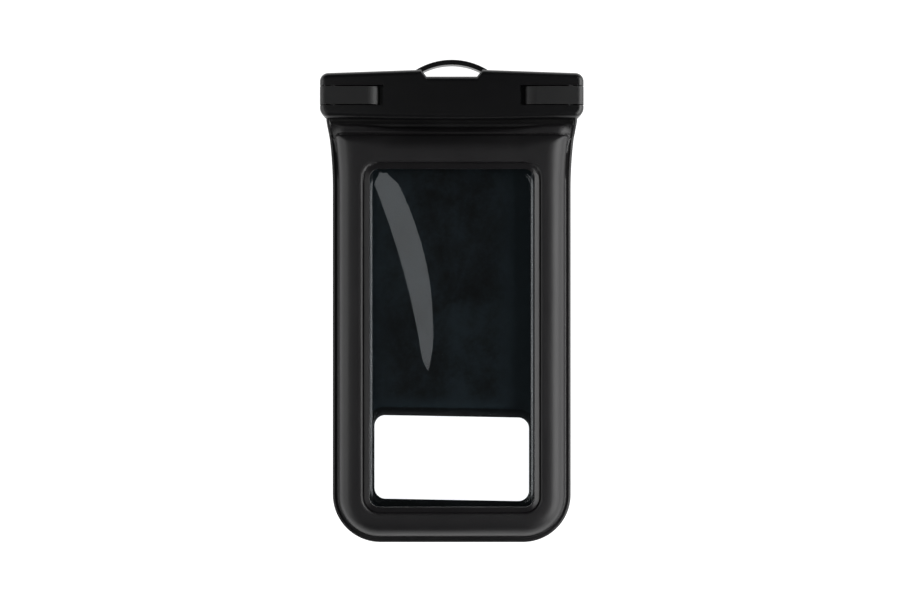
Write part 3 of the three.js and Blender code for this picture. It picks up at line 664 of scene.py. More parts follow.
class BagShape:
    """Where the bag's edges, folds and films run, from its sizes and the frame."""

    def __init__(self, sizes):
        self.sizes = sizes
        self.low_y = SKIN_LOW.y
        self.half_width = sizes.window_width / 2 + sizes.ring_width
        self.corner = sizes.window_corner + sizes.ring_width
        self.crease_y = self.low_y + sizes.window_length + 2 * sizes.ring_width - sizes.crease_drop
        self.clamp_y = self.crease_y + sizes.neck_length + sizes.crease_drop
        self.end_y = SKIN_HIGH.y
        self.ramp_start = self.crease_y - 3 * MM
        self.ramp_end = self.clamp_y - 0.6 * MM
        self.mouth_rear = REAR_FILM_TOP - sizes.film_wall
        self.mouth_front = 7.3 * MM    # underside of the skin in the clamp
        self.stack = 1.5 * MM          # from the rear film's underside to the skin's, at the edge
        self.crease_fill = 2.4 * MM    # how much the crease above the padding is filled
        self.crest_z = SKIN_HIGH.z - sizes.crest_sink
        self.pane_z = sizes.weld_high - sizes.skin_wall - 0.9 * MM
        self.window_low = self.low_y + sizes.ring_width
        self.window_high = self.window_low + sizes.window_length
        self.window_middle = (self.window_low + self.window_high) / 2

    def edge_x(self, y):
        """Half the bag's width, which flares towards the clamp."""
        start = self.clamp_y - self.sizes.flare_length
        rise = held((y - start) / self.sizes.flare_length)
        return self.half_width + self.sizes.flare_width * rise * rise

    def up_neck(self, y):
        """How far up the neck a place lies: 0 at the padding and 1 at the clamp."""
        return (y - self.crease_y) / (self.ramp_end - self.crease_y)

    def rear_z(self, y):
        """Underside of the rear film."""
        return self.mouth_rear * ease((y - self.ramp_start) / (self.ramp_end - self.ramp_start))

    def skin_z(self, x, y):
        """Underside of the front skin along its edge and over the neck."""
        climb = ease((self.up_neck(y) - 0.55) / 0.45)
        pinched = min(self.rear_z(y) + self.stack, self.mouth_front)
        pinched += (self.mouth_front - pinched) * climb
        height = self.sizes.crease_height
        opened = height + (self.mouth_front - height) * climb
        spread = 12 * MM
        inside = ease((self.edge_x(y) - abs(x)) / spread)
        near_neck = ease((y - self.crease_y) / spread + 1)
        return pinched + (opened - pinched) * inside * near_neck

    def stations(self, fine):
        """Pairs of points on the bag's edge and the window's edge, all the way round.

        Each comes with True where it belongs to the top edge, from which the neck grows. The
        number of points goes up with fine, a whole number.
        """
        sizes = self.sizes
        inner_x = sizes.window_width / 2
        arc = sizes.window_corner
        flat_x = inner_x - arc
        steps = 6 * fine
        half = [
            ((flat_x * i / steps, self.low_y), (flat_x * i / steps, self.window_low), False)
            for i in range(steps)
        ]
        centre_y = self.low_y + self.corner
        centre = (flat_x, centre_y)
        for angle in quarter(-math.pi / 2, 10 * fine):
            half.append((on_arc(centre, self.corner, angle), on_arc(centre, arc, angle), False))
        steps = 28 * fine
        inner_top = self.window_high - arc
        zone = 8 * MM          # on both sides of the top corner, where the points are close
        side_top = self.crease_y - zone
        for i in range(1, steps):
            outer_y = centre_y + (side_top - centre_y) * i / steps
            inner_y = centre_y + (inner_top - centre_y) * i / steps
            half.append(((self.edge_x(outer_y), outer_y), (inner_x, inner_y), False))
        heights = [self.crease_y - zone * i / 10 for i in range(10, 0, -1)]
        insets = [0, 0.25, 0.5, 0.75, 1, 1.3, 1.6, 1.9, 2.3, 2.8, 3.4, 4.2, 5.2, 6.4, 8]
        corner_x = self.edge_x(self.crease_y)
        outline = [((self.edge_x(y), y), False) for y in heights]
        outline += [((corner_x - inset * MM, self.crease_y), True) for inset in insets]
        for (outer, top), angle in zip(outline, quarter(0, len(outline) - 1)):
            half.append((outer, on_arc((flat_x, inner_top), arc, angle), top))
        steps = 14 * fine
        for i in range(1, steps + 1):
            share = 1 - i / steps
            outer = ((corner_x - zone) * share, self.crease_y)
            half.append((outer, (flat_x * share, self.window_high), True))
        return both_halves(half)

    def side_gap(self, x, y):
        """Distance inside the bag's outline, without its top."""
        away = self.edge_x(y) - abs(x)
        if y < self.low_y + self.corner:
            reach_x = max(abs(x) - (self.half_width - self.corner), 0.0)
            reach_y = self.low_y + self.corner - y
            away = min(away, self.corner - math.hypot(reach_x, reach_y))
        return max(away, 0.0)

    def window_gap(self, x, y):
        """Distance outside the window's edge."""
        half_x = self.sizes.window_width / 2
        half_y = self.sizes.window_length / 2
        return max(round_gap(x, y - self.window_middle, half_x, half_y, self.sizes.window_corner), 0.0)

    def tilt(self, x):
        """How steep the weld is: full at the sides, and flatter along its two short ends."""
        end = ease((self.sizes.window_width / 2 - abs(x)) / (4 * MM))
        return 1 - 0.35 * end

    def from_edge(self, side):
        """How much of the folds at the neck is left near the bag's edge."""
        return ease((side - 0.6 * MM) / (7 * MM))

    def skin_top(self, x, y):
        """Height of the skin's outer face anywhere on the bag."""
        sizes = self.sizes
        side = self.side_gap(x, y)
        base = self.skin_z(x, y) + sizes.skin_wall
        # A welded bead along the edge, with a fine groove beside it
        base += 0.30 * MM * hump(side, 1.0 * MM, 0.50 * MM) - 0.12 * MM * hump(side, 1.8 * MM, 0.35 * MM)
        if y > self.crease_y:
            return base + neck_fold(self, x, y)
        to_top = self.crease_y - y
        base += self.crease_fill * ease(1 - to_top / (4 * MM)) * self.from_edge(side)
        # The padding's arch, steeper from the edge than down to the window's weld
        to_top *= 1 + 0.9 * ease((abs(x) - 28 * MM) / (18 * MM))
        inward = blunt_min(side - sizes.flange_width, to_top, 2.5 * MM)
        crest = sizes.crest_offset + sizes.crest_lean * ease(x / (20 * MM))
        outer = held(inward / (crest - sizes.flange_width))
        to_window = self.window_gap(x, y)
        to_weld = to_window - sizes.weld_width
        inner = held(to_weld / (sizes.ring_width - sizes.weld_width - crest))
        low = base + (sizes.weld_low - base) * ease(inward / max(inward + to_weld, 0.1 * MM))
        arch = flank(outer, 2.0, 0.5) * flank(inner, 3.4, 0.42)
        height = low + (self.crest_z + waviness(x, y) * 0.14 * MM - low) * arch
        if to_weld < 0:
            rise = 1 - to_window / sizes.weld_width
            height += (sizes.weld_high - sizes.weld_low) * rise * self.tilt(x)
        # The fine groove where the padding meets the weld
        return height - 0.2 * MM * hump(to_weld, -0.1 * MM, 0.14 * MM)


def blunt_min(first, second, reach):
    """The smaller of two distances, rounded where they are close to each other."""
    share = max(reach - abs(first - second), 0.0) / reach
    return min(first, second) - share * share * reach / 4


def waviness(x, y):
    """A slow hand-made unevenness between about -1 and 1, over metres."""
    return 0.5 * math.sin(x * 61 + 1.3 * math.sin(y * 37)) * math.sin(y * 53 + 0.7) \
        + 0.3 * math.sin(x * 131 + y * 97 + 0.4) + 0.2 * math.sin(y * 211 - x * 83)


def skin_offsets(sizes):
    """Offsets from the bag's edge at which a section of the skin has points."""
    foot = sizes.flange_width
    crest = sizes.crest_offset
    inner = sizes.ring_width - sizes.weld_width
    offsets = [o * MM for o in (0.05, 0.2, 0.35, 0.5, 0.65, 0.8, 1.0, 1.2, 1.4, 1.65)]
    offsets += [crest - (crest - foot) * math.cos(math.pi / 2 * i / 16) for i in range(17)]
    offsets += [crest + (inner - crest) * math.sin(math.pi / 2 * i / 14) ** 0.9 for i in range(1, 14)]
    offsets += [inner + o * MM for o in (-0.1, 0.0, 0.1, 0.2, 0.3, 0.45, 0.7, 1.2, 1.8, 2.3, 2.6, 2.8)]
    return offsets


def neck_brink(x):
    """How far up the neck its fold reaches before the gap: further towards the bag's sides."""
    return 0.40 + 0.28 * ease((abs(x) - 26 * MM) / (22 * MM))


def neck_fold(shape, x, y):
    """How far the neck's fold rises above its plain slope, and how far the gap behind it sinks."""
    share = shape.up_neck(y)
    share += 0.03 * math.sin(x * 43 + 0.6) * ease(share * 3) * ease((1 - share) * 4)
    if share >= 1:
        return 0.0
    outward = ease(abs(x) / (50 * MM))
    brink = neck_brink(x)
    # Heights in the order in which they follow each other up the neck
    foot = shape.skin_z(0.0, shape.crease_y) + shape.crease_fill
    ridge = (8.4 - 0.8 * outward) * MM
    shoulder = (6.8 + 0.45 * outward) * MM
    valley = 6.3 * MM
    mouth = shape.mouth_front + shape.sizes.skin_wall
    height = foot + (ridge - foot) * ease(share / 0.12)
    height += (shoulder - ridge) * held((share - 0.1) / brink)
    height += (valley - shoulder) * ease((share - brink) / 0.22)
    height += (mouth - valley) * ease((share - 0.86) / 0.14)
    # A fine crease that wanders along the ridge
    height -= 0.16 * MM * hump(share, 0.30 - 0.10 * math.sin(x * 30), 0.05)
    plain = shape.skin_z(x, y) + shape.sizes.skin_wall
    return (height - plain) * shape.from_edge(shape.side_gap(x, y))


def skin_sections(shape, fine):
    """Loops of points of the padded skin with its neck, one at each station."""
    sizes = shape.sizes
    wall = sizes.skin_wall
    lip = sizes.ring_width
    levels = [0.05, 0.1, 0.16, 0.22, 0.28, 0.34, 0.4, 0.46, 0.52, 0.6, 0.7, 0.8, 0.9, 1.0]
    offsets = skin_offsets(sizes)
    sections = []
    for outer, inner, top in shape.stations(fine):

        def at(offset, lift):
            """A point on the skin's outer face, or a lift above it."""
            x, y = toward(outer, inner, offset / lip)
            return Vector((x, y, shape.skin_top(x, y) + lift))

        edge_z = shape.skin_z(*outer)
        rim = Vector((*outer, shape.skin_top(*outer) if top else edge_z + 0.6 * wall))
        low_rim = Vector((*outer, edge_z))
        # The neck grows from the top edge, and is no more than the rim elsewhere
        neck_top = [rim.copy() for _ in levels]
        neck_under = [low_rim.copy() for _ in levels]
        if top:
            for index, level in enumerate(reversed(levels)):
                y = shape.crease_y + (shape.end_y - shape.crease_y) * level
                x = outer[0] * shape.edge_x(y) / shape.edge_x(shape.crease_y)
                at_side = abs(x) > shape.edge_x(y) - 0.01 * MM
                z = shape.skin_top(x, y) - (0.4 * wall if at_side else 0)
                z = max(z, shape.rear_z(y) + sizes.film_wall + wall + 0.1 * MM)
                neck_top[index] = Vector((x, y, z))
                neck_under[index] = Vector((x, y, min(shape.skin_z(x, y), z - wall)))
        loop = neck_top + [rim] + [at(offset, 0.0) for offset in offsets]
        # The cut edge of the skin at the window, then its underside back to the bag's edge
        for inset, drop in ((0.02, 0.12), (0.0, 0.42), (0.1, 0.7)):
            loop.append(at(lip - inset * MM, -drop * MM))
        for offset in reversed(offsets[9::3]):
            depth = wall * (1.0 + 0.5 * ease((sizes.crest_offset - offset) / (4 * MM)))
            point = at(min(max(offset, sizes.flange_width + 0.9 * MM), lip - 2.6 * MM), -depth)
            point.z = max(point.z, shape.skin_z(point.x, point.y) + 0.03 * MM)
            loop.append(point)
        for offset, lift in ((sizes.flange_width + 0.6 * MM, 0.01 * MM), (0.1 * MM, 0.005 * MM)):
            loop.append(Vector((*toward(outer, inner, offset / lip), edge_z + lift)))
        loop.append(low_rim)
        sections.append(loop + neck_under[::-1])
    return sections


# The crescent fold across the front window

def fold_borders(y):
    """Left and right border of the long fold in the window, at a height y; None past its tip."""
    top, tip = 58.6 * MM, -32.9 * MM
    if y < tip:
        return None
    down = (top - y) / (top - tip)
    left = (-37.4 + 37.3 * down - 12.8 * down * down + 2.0 * max(down - 0.93, 0) / 0.07) * MM
    # The right border reaches furthest at the belly, and turns back above and below it
    belly, belly_x = 0.8, -8.1 * MM
    if down < belly:
        right = belly_x - 18.6 * MM * ((belly - down) / belly) ** 2.1
        right -= 2.6 * MM * ease(1 - down / 0.06)
    else:
        right = belly_x - 2.8 * MM * ((down - belly) / (1 - belly)) ** 2
    return min(left, right), right


# Operators

class PieceOperator:
    """What every operator of the pouch shares."""
    bl_options = {"REGISTER", "UNDO"}


def clamp_bar(name, sizes, extra, face_z, rim_z, rim_round):
    """A bar of the clamp: a plane cut into columns, crowned, notched, rounded and raised.

    Each side of its notch is wider by the extra. It grows from its parting face to its rim.
    """
    half = FRONT_HIGH.x
    low_y = FRONT_LOW.y
    high_y = FRONT_HIGH.y
    middle_y = (low_y + high_y) / 2
    floor_x = sizes.notch_floor / 2 + extra
    lip_x = floor_x + sizes.notch_chamfer
    alone()
    bpy.ops.mesh.primitive_plane_add(size=1, location=(0, middle_y, face_z))
    piece = added(name, (2 * half, high_y - low_y, 1))
    editing(piece)
    spread = half - sizes.bottom_corner
    columns = [floor_x, lip_x, *(spread * i / 7 for i in range(7))]
    columns = sorted({side * x for x in columns for side in (-1, 1)})
    for x in columns:
        slice_at((x, 0, face_z), (1, 0, 0))
    for x in [-half, *columns, half]:
        away = abs(x)
        drop = sizes.bottom_crown * min(away / spread, 1.0) ** 2
        if away > lip_x:
            fall = sizes.top_crown * (away - lip_x) / (half - lip_x)
        elif near(away, lip_x):
            fall = 0.0
        else:
            fall = sizes.notch_depth
        shift(piece, lambda v: near(v.co.x, x) and near(v.co.y, low_y), (0, drop, 0))
        shift(piece, lambda v: near(v.co.x, x) and near(v.co.y, high_y), (0, -fall, 0))
    for way, radius in ((1, sizes.top_corner), (-1, sizes.bottom_corner)):
        pick(piece, "verts", lambda v: near(abs(v.co.x), half) and way * (v.co.y - middle_y) > 0)
        bpy.ops.mesh.bevel(offset=radius, segments=12, affect="VERTICES")
    bpy.ops.mesh.select_all(action="SELECT")
    bpy.ops.mesh.extrude_region_move(TRANSFORM_OT_translate={"value": (0, 0, rim_z - face_z)})
    face_outwards()

    def on_rim(edge):
        level = all(near(v.co.z, rim_z) for v in edge.verts)
        return level and any(abs(face.normal.z) < 0.5 for face in edge.link_faces)

    pick(piece, "edges", on_rim)
    bpy.ops.mesh.bevel(offset=rim_round, segments=6, affect="EDGES", clamp_overlap=False)
    alone(piece)
    return piece


def latch_rows(sizes):
    """The lowest and highest y of the openings that a latch lies in."""
    return LATCH_LOW.y - sizes.latch_gap, LATCH_HIGH.y + sizes.latch_gap


def leg_gap(side, sizes):
    """The cutter for the gap that a latch's leg passes through."""
    near_x = 2 * PIN_X - LATCH_HIGH.x - sizes.latch_gap
    x_ends = (near_x, FRONT_HIGH.x + PAST)
    return side_block("leg_gap", side, x_ends, latch_rows(sizes), (-PAST, CLEAR_Z))


def mouth_cutter(sizes, floor_z, open_z):
    """The cutter for the mouth that holds the film's edge."""
    half = SKIN_HIGH.x + 0.4 * MM
    low = (-half, FRONT_LOW.y - PAST, min(floor_z, open_z))
    high = (half, FRONT_LOW.y + sizes.mouth_depth, max(floor_z, open_z))
    return block("mouth", low, high)


def finish_bar(piece, node, roughness):
    """Softens a bar of the clamp and dresses it in its plastic."""
    soften(piece, 0.16 * MM, 2)
    tone = bpy.context.scene.pouch_colours.clamp
    plastic = moulded_plastic(f"{node}_plastic", tone, roughness, BAR_GRAIN, 0.012 * MM)
    dress(piece, MAIN_BODY, "clamp_plastic", plastic, node)


class POUCH_OT_front_bar(PieceOperator, bpy.types.Operator):
    """Models the front bar of the clamp with its notch and latch recesses"""
    bl_idname = "pouch.front_bar"
    bl_label = "Front bar"

    def execute(self, context):
        sizes = context.scene.pouch_clamp
        rounding = sizes.front_round
        piece = clamp_bar("clamp_front", sizes, 0.0, FRONT_LOW.z, FRONT_HIGH.z, rounding)
        arm_floor = FRONT_HIGH.z - sizes.arm_thickness - sizes.latch_gap
        finger_floor = FRONT_HIGH.z - sizes.recess_depth
        arm_ends = (LATCH_LOW.x, FRONT_HIGH.x + PAST)
        finger_ends = (LATCH_LOW.x - sizes.finger_recess, LATCH_LOW.x + 0.5 * MM)
        rows = latch_rows(sizes)
        for side in (-1, 1):
            combine(piece, leg_gap(side, sizes), "DIFFERENCE")
            for ends, floor_z in ((arm_ends, arm_floor), (finger_ends, finger_floor)):
                tool = side_block("recess", side, ends, rows, (floor_z, CLEAR_Z))
                combine(piece, tool, "DIFFERENCE")
        combine(piece, mouth_cutter(sizes, FRONT_LOW.z + MOUTH_HALF, -PAST), "DIFFERENCE")
        finish_bar(piece, "front_bar", 0.31)
        return {"FINISHED"}


class POUCH_OT_rear_bar(PieceOperator, bpy.types.Operator):
    """Models the rear bar of the clamp with its strap loop and hinge lugs"""
    bl_idname = "pouch.rear_bar"
    bl_label = "Rear bar"

    def execute(self, context):
        sizes = context.scene.pouch_clamp
        face_z = FRONT_LOW.z - sizes.parting_gap
        extra, rounding = sizes.rear_notch_extra, sizes.rear_round
        piece = clamp_bar("clamp_rear", sizes, extra, face_z, REAR_LOW.z, rounding)
        combine(piece, self.strap_loop(sizes), "UNION")
        hole_depth = 30 * MM
        hole_y = PIN_LOW.y - 0.3 * MM + hole_depth / 2
        for side in (-1, 1):
            combine(piece, leg_gap(side, sizes), "DIFFERENCE")
            tool = rod("pin_hole", HOLE_RADIUS, hole_depth, (side * PIN_X, hole_y, PIN_Z), 32)
            combine(piece, tool, "DIFFERENCE")
        combine(piece, mouth_cutter(sizes, face_z - MOUTH_HALF, CLEAR_Z), "DIFFERENCE")
        finish_bar(piece, "rear_bar", 0.32)
        return {"FINISHED"}

    def strap_loop(self, sizes):
        """A flat band spun round in an arc."""
        half = sizes.loop_span / 2
        radius = (half * half + sizes.loop_rise ** 2) / (2 * sizes.loop_rise)
        centre_y = REAR_HIGH.y - radius
        root = math.asin((half + 1.6 * MM) / radius)
        middle = radius - sizes.loop_wall / 2
        start = (middle * math.sin(root), centre_y + middle * math.cos(root), sizes.loop_depth / 2)
        alone()
        bpy.ops.mesh.primitive_plane_add(
            size=1, location=start, rotation=(math.pi / 2, 0, math.pi / 2 - root)
        )
        loop = added("strap_loop", (sizes.loop_wall, sizes.loop_depth, 1))
        editing(loop)
        bpy.ops.mesh.select_all(action="SELECT")
        bpy.ops.mesh.spin(steps=40, angle=2 * root, center=(0, centre_y, 0), axis=(0, 0, -1))
        bpy.ops.mesh.select_all(action="SELECT")
        bpy.ops.mesh.remove_doubles(threshold=0.000001)
        bpy.ops.mesh.fill_holes(sides=0)
        face_outwards()

        def along(edge):
            level = near(edge.verts[0].co.z, edge.verts[1].co.z)
            away = [math.hypot(v.co.x, v.co.y - centre_y) for v in edge.verts]
            return level and near(away[0], away[1])

        pick(loop, "edges", along)
        bpy.ops.mesh.bevel(offset=0.55 * MM, segments=4, affect="EDGES")
        alone(loop)
        return loop


class POUCH_OT_latches(PieceOperator, bpy.types.Operator):
    """Models the two flip latches"""
    bl_idname = "pouch.latches"
    bl_label = "Latches"

    def execute(self, context):
        sizes = context.scene.pouch_clamp
        colours = context.scene.pouch_colours
        material = moulded_plastic("latch_plastic", colours.latch, 0.44, 4200.0, 0.02 * MM)
        left = self.lever("lever_left", sizes)
        alone(left)
        bpy.ops.object.duplicate()
        right = added("lever_right")
        left.scale.x = -1
        settle(left)
        editing(left)
        face_outwards()
        for piece, word in ((left, "left"), (right, "right")):
            soften(piece, 0.3 * MM, 3)
            dress(piece, f"{word}_latch", "latch_plastic", material, f"latch_{word}")
        return {"FINISHED"}

    def lever(self, name, sizes):
        """An arm with a rolled nose, its leg and the knuckle round the pin, on the right side."""
        low, high = LATCH_LOW.copy(), LATCH_HIGH
        low.x -= sizes.nose_reach
        under = high.z - sizes.arm_thickness
        piece = block(name, (low.x, low.y, under), (high.x, high.y, high.z))
        editing(piece)
        slice_at((PIN_X, 0, 0), (1, 0, 0))
        rolls = [0.03, 0.09, 0.18, 0.3, 0.44, 0.6, 0.8, 1.0]
        for share in rolls:
            slice_at((low.x + sizes.arm_roll * share, 0, 0), (1, 0, 0))
        for share in [0.0, *rolls[:-1]]:
            x = low.x + sizes.arm_roll * share
            left = 1 - share
            roll = 0.6 * left ** 1.7 + 0.4 * (1 - math.sqrt(1 - left * left))
            fall = (sizes.arm_thickness - 0.3 * MM) * roll
            shift(piece, lambda v: near(v.co.x, x) and near(v.co.z, high.z), (0, 0, -fall))
        pick(piece, "faces", lambda f: f.normal.z < -0.9 and f.calc_center_median().x > PIN_X)
        bpy.ops.mesh.extrude_region_move(TRANSFORM_OT_translate={"value": (0, 0, PIN_Z - under)})

        def outer_top(edge):
            return all(near(v.co.x, high.x) and near(v.co.z, high.z) for v in edge.verts)

        pick(piece, "edges", outer_top)
        bpy.ops.mesh.bevel(offset=sizes.front_round, segments=8, affect="EDGES")
        pick(piece, "edges", lambda e: all(near(v.co.x, PIN_X) and near(v.co.z, under) for v in e.verts))
        bpy.ops.mesh.bevel(offset=0.8 * MM, segments=4, affect="EDGES")
        place = (PIN_X, (low.y + high.y) / 2, PIN_Z)
        combine(piece, rod("knuckle", high.x - PIN_X, high.y - low.y, place, 64), "UNION")
        combine(piece, rod("pin_hole", HOLE_RADIUS, 20 * MM, place, 64), "DIFFERENCE")
        return piece


class POUCH_OT_inserts(PieceOperator, bpy.types.Operator):
    """Finishes the hinge pins, the seals and the film strips inside the clamp"""
    bl_idname = "pouch.inserts"
    bl_label = "Clamp inserts"

    def execute(self, context):
        colours = context.scene.pouch_colours
        steel = turned_steel("pin_steel", colours.steel)
        silicone = soft_rubber("seal_silicone", colours.seal)
        plastic = moulded_plastic("strip_plastic", colours.clamp, 0.45, BAR_GRAIN, 0.03 * MM)
        for material, nodes in (
            (steel, ("hinge_pin_left", "hinge_pin_right")),
            (silicone, ("front_seal", "rear_seal")),
            (plastic, ("front_film_strip", "rear_film_strip")),
        ):
            for node in nodes:
                paint_node(node, material)
        return {"FINISHED"}


class POUCH_OT_padded_skin(PieceOperator, bpy.types.Operator):
    """Models the padded front skin with its edge weld, window weld and the fold of its neck, and marks
    where shade is painted into its folds
    """
    bl_idname = "pouch.padded_skin"
    bl_label = "Padded skin"

    def execute(self, context):
        sizes = context.scene.pouch_bag
        shape = BagShape(sizes)
        piece = ring_through("padded_skin", skin_sections(shape, 2))
        weld = piece.data.attributes.new("weld", "FLOAT", "POINT")
        # Painted shade in the neck's folds and along the crease, by which the skin's film darkens its
        # colour
        folded = piece.data.attributes.new("folded", "FLOAT", "POINT")
        for vertex, on_weld, fold_shade_value in zip(piece.data.vertices, weld.data, folded.data):
            x, y, _ = vertex.co
            gap = shape.window_gap(x, y)
            on_weld.value = 1.0 - ease((gap - sizes.weld_width + 0.25 * MM) / (0.3 * MM))
            fold_shade_value.value = self.depth(shape, x, y)
        film = formed_film("skin_film", context.scene.pouch_colours.skin, 0.44, 0.4 * MM)
        dress(piece, MAIN_BODY, "padded_skin", film, "front_skin")
        return {"FINISHED"}

    def depth(self, shape, x, y):
        """How much shade is painted on a place in the folds at the clamp and along the crease, from 0 to
        1; most in the middle.
        """
        past = y - shape.crease_y
        # Painted shade over the neck and the top of the padding: strongest in the middle of the width,
        # fading towards the sides
        middle = 0.62 - 0.54 * ease((abs(x) - 8 * MM) / (38 * MM))
        if past < 0:
            # A painted dark line along the crease, on the padding's side of it
            line = 0.8 - 0.3 * ease((abs(x) - 20 * MM) / (25 * MM))
            return middle * ease(1 + past / (9 * MM)) + (line - middle) * ease(1 + past / (1.2 * MM))
        gap = ease((shape.up_neck(y) - neck_brink(x)) / 0.15)
        return max(middle, (0.9 - 0.5 * hump(past, 4.3 * MM, 0.35 * MM)) * gap)


def liner_top(shape, edge_z, offset):
    """Top of the liner under the foam, at an offset from the bag's edge."""
    sizes = shape.sizes
    turn = sizes.flange_width + sizes.skin_wall + FILM_GAP
    low = edge_z - FILM_GAP
    high = shape.pane_z - 0.35 * MM
    share = (offset - turn) / (sizes.ring_width - sizes.weld_width - turn)
    return low + (high - low) * held(share)


def plain_ring(name, shape, loop_at):
    """A ring whose section is the same set of offsets and heights at each station."""
    sections = []
    for outer, inner, _ in shape.stations(1):
        sections.append([
            Vector((*toward(outer, inner, offset / shape.sizes.ring_width), z))
            for offset, z in loop_at(shape.skin_z(*outer))
        ])
    return ring_through(name, sections)


class POUCH_OT_ring_fill(PieceOperator, bpy.types.Operator):
    """Models the foam in the padded ring and the liner behind it"""
    bl_idname = "pouch.ring_fill"
    bl_label = "Foam and liner"

    def execute(self, context):
        sizes = context.scene.pouch_bag
        colours = context.scene.pouch_colours
        shape = BagShape(sizes)
        wall = sizes.skin_wall + FILM_GAP
        crest = sizes.crest_offset
        foot = sizes.flange_width + wall
        inner = sizes.ring_width - sizes.weld_width - wall

        def foam_loop(edge_z):
            low = liner_top(shape, edge_z, foot) + 0.6 * MM
            crest_z = shape.crest_z - wall - FILM_GAP
            loop = []
            for angle in quarter(0, 8):
                offset = crest - (crest - foot) * math.cos(angle)
                loop.append((offset, low + (crest_z - low) * math.sin(angle)))
            end_z = liner_top(shape, edge_z, inner) + 0.6 * MM
            for i in range(1, 7):
                share = i / 6
                drop = (1 - math.cos(math.pi * share)) / 2
                loop.append((crest + (inner - crest) * share, crest_z + (end_z - crest_z) * drop))
            for share in (0.75, 0.5, 0.25):
                offset = foot + (inner - foot) * share
                loop.append((offset, liner_top(shape, edge_z, offset) + 0.5 * MM))
            return loop

        foam = plain_ring("foam_ring", shape, foam_loop)
        dress(foam, MAIN_BODY, "foam", cell_foam("ring_foam", colours.foam), "float_foam")

        def liner_loop(edge_z):
            offsets = [0.3 * MM, foot, (foot + inner) / 2, inner + wall, sizes.ring_width]
            top = [(offset, liner_top(shape, edge_z, offset)) for offset in offsets]
            return top + [(offset, z - 0.4 * MM) for offset, z in reversed(top)]

        liner = plain_ring("liner_film", shape, liner_loop)
        film = formed_film("liner_black", colours.liner, 0.5, 0.2 * MM)
        dress(liner, MAIN_BODY, "black_film", film, "front_liner")
        return {"FINISHED"}


class POUCH_OT_front_window(PieceOperator, bpy.types.Operator):
    """Models the clear front film with its formed edge and its long fold"""
    bl_idname = "pouch.front_window"
    bl_label = "Front window"
    edge_run = 1.3 * MM      # width of the formed edge
    edge_slope = 0.46

    def execute(self, context):
        sizes = context.scene.pouch_bag
        lap = sizes.weld_width - 0.4 * MM
        half = sizes.window_width / 2 + lap
        low_y = WINDOW_LOW.y
        high_y = WINDOW_HIGH.y
        alone()
        bpy.ops.mesh.primitive_grid_add(
            x_subdivisions=180, y_subdivisions=220, size=1,
            location=(0, (low_y + high_y) / 2, WINDOW_HIGH.z),
        )
        piece = added("window_film", (2 * half, high_y - low_y, 1))
        editing(piece)
        self.round_corners(half, low_y, high_y, sizes.window_corner + lap)
        alone(piece)
        self.form(piece, sizes)
        apply_modifier(piece, "SOLIDIFY", thickness=0.25 * MM, offset=-1)
        piece.data.shade_smooth()
        hazy_x = sizes.window_width / 2 - self.edge_run
        film = clear_film("window_clear", 0.034, 0.02, 0.09 * MM, hazy_x)
        dress(piece, MAIN_BODY, "clear_film", film, "front_window")
        return {"FINISHED"}

    def round_corners(self, half, low_y, high_y, radius):
        """Trims each corner with a few slanted cuts."""
        for side in (-1, 1):
            for end_y, way in ((low_y, -1), (high_y, 1)):
                centre = Vector((side * (half - radius), end_y - way * radius, 0))
                for degrees in (15, 30, 45, 60, 75):
                    angle = math.radians(degrees)
                    out = Vector((side * math.cos(angle), way * math.sin(angle), 0))
                    bpy.ops.mesh.select_all(action="SELECT")
                    place = centre + out * radius
                    bpy.ops.mesh.bisect(plane_co=place, plane_no=out, clear_outer=True)

    def form(self, piece, sizes):
        """Lowers the pane inside its formed edge, waves it a little and lifts the crescent fold."""
        shape = BagShape(sizes)
        inset = 0.15 * MM
        half_x = sizes.window_width / 2 - inset
        half_y = sizes.window_length / 2 - inset
        arc = 8.5 * MM
        for vertex in piece.data.vertices:
            x, y, _ = vertex.co
            inside = held(-round_gap(x, y - shape.window_middle, half_x, half_y, arc) / self.edge_run)
            vertex.co.z = shape.pane_z - self.edge_slope * self.edge_run * inside
            vertex.co.z += (self.fold(x, y) + 0.05 * MM * waviness(x * 1.4, y)) * inside

    def fold(self, x, y):
        """Height of the crescent fold: it climbs across its width and sinks slowly after it."""
        slope = 0.14
        borders = fold_borders(y)
        if borders is None:
            return 0.0
        left, right = borders
        if x < left:
            return 0.0
        if x < right:
            return (x - left) * slope
        return (right - left) * slope * (1 - ease((x - right) / (40 * MM)))


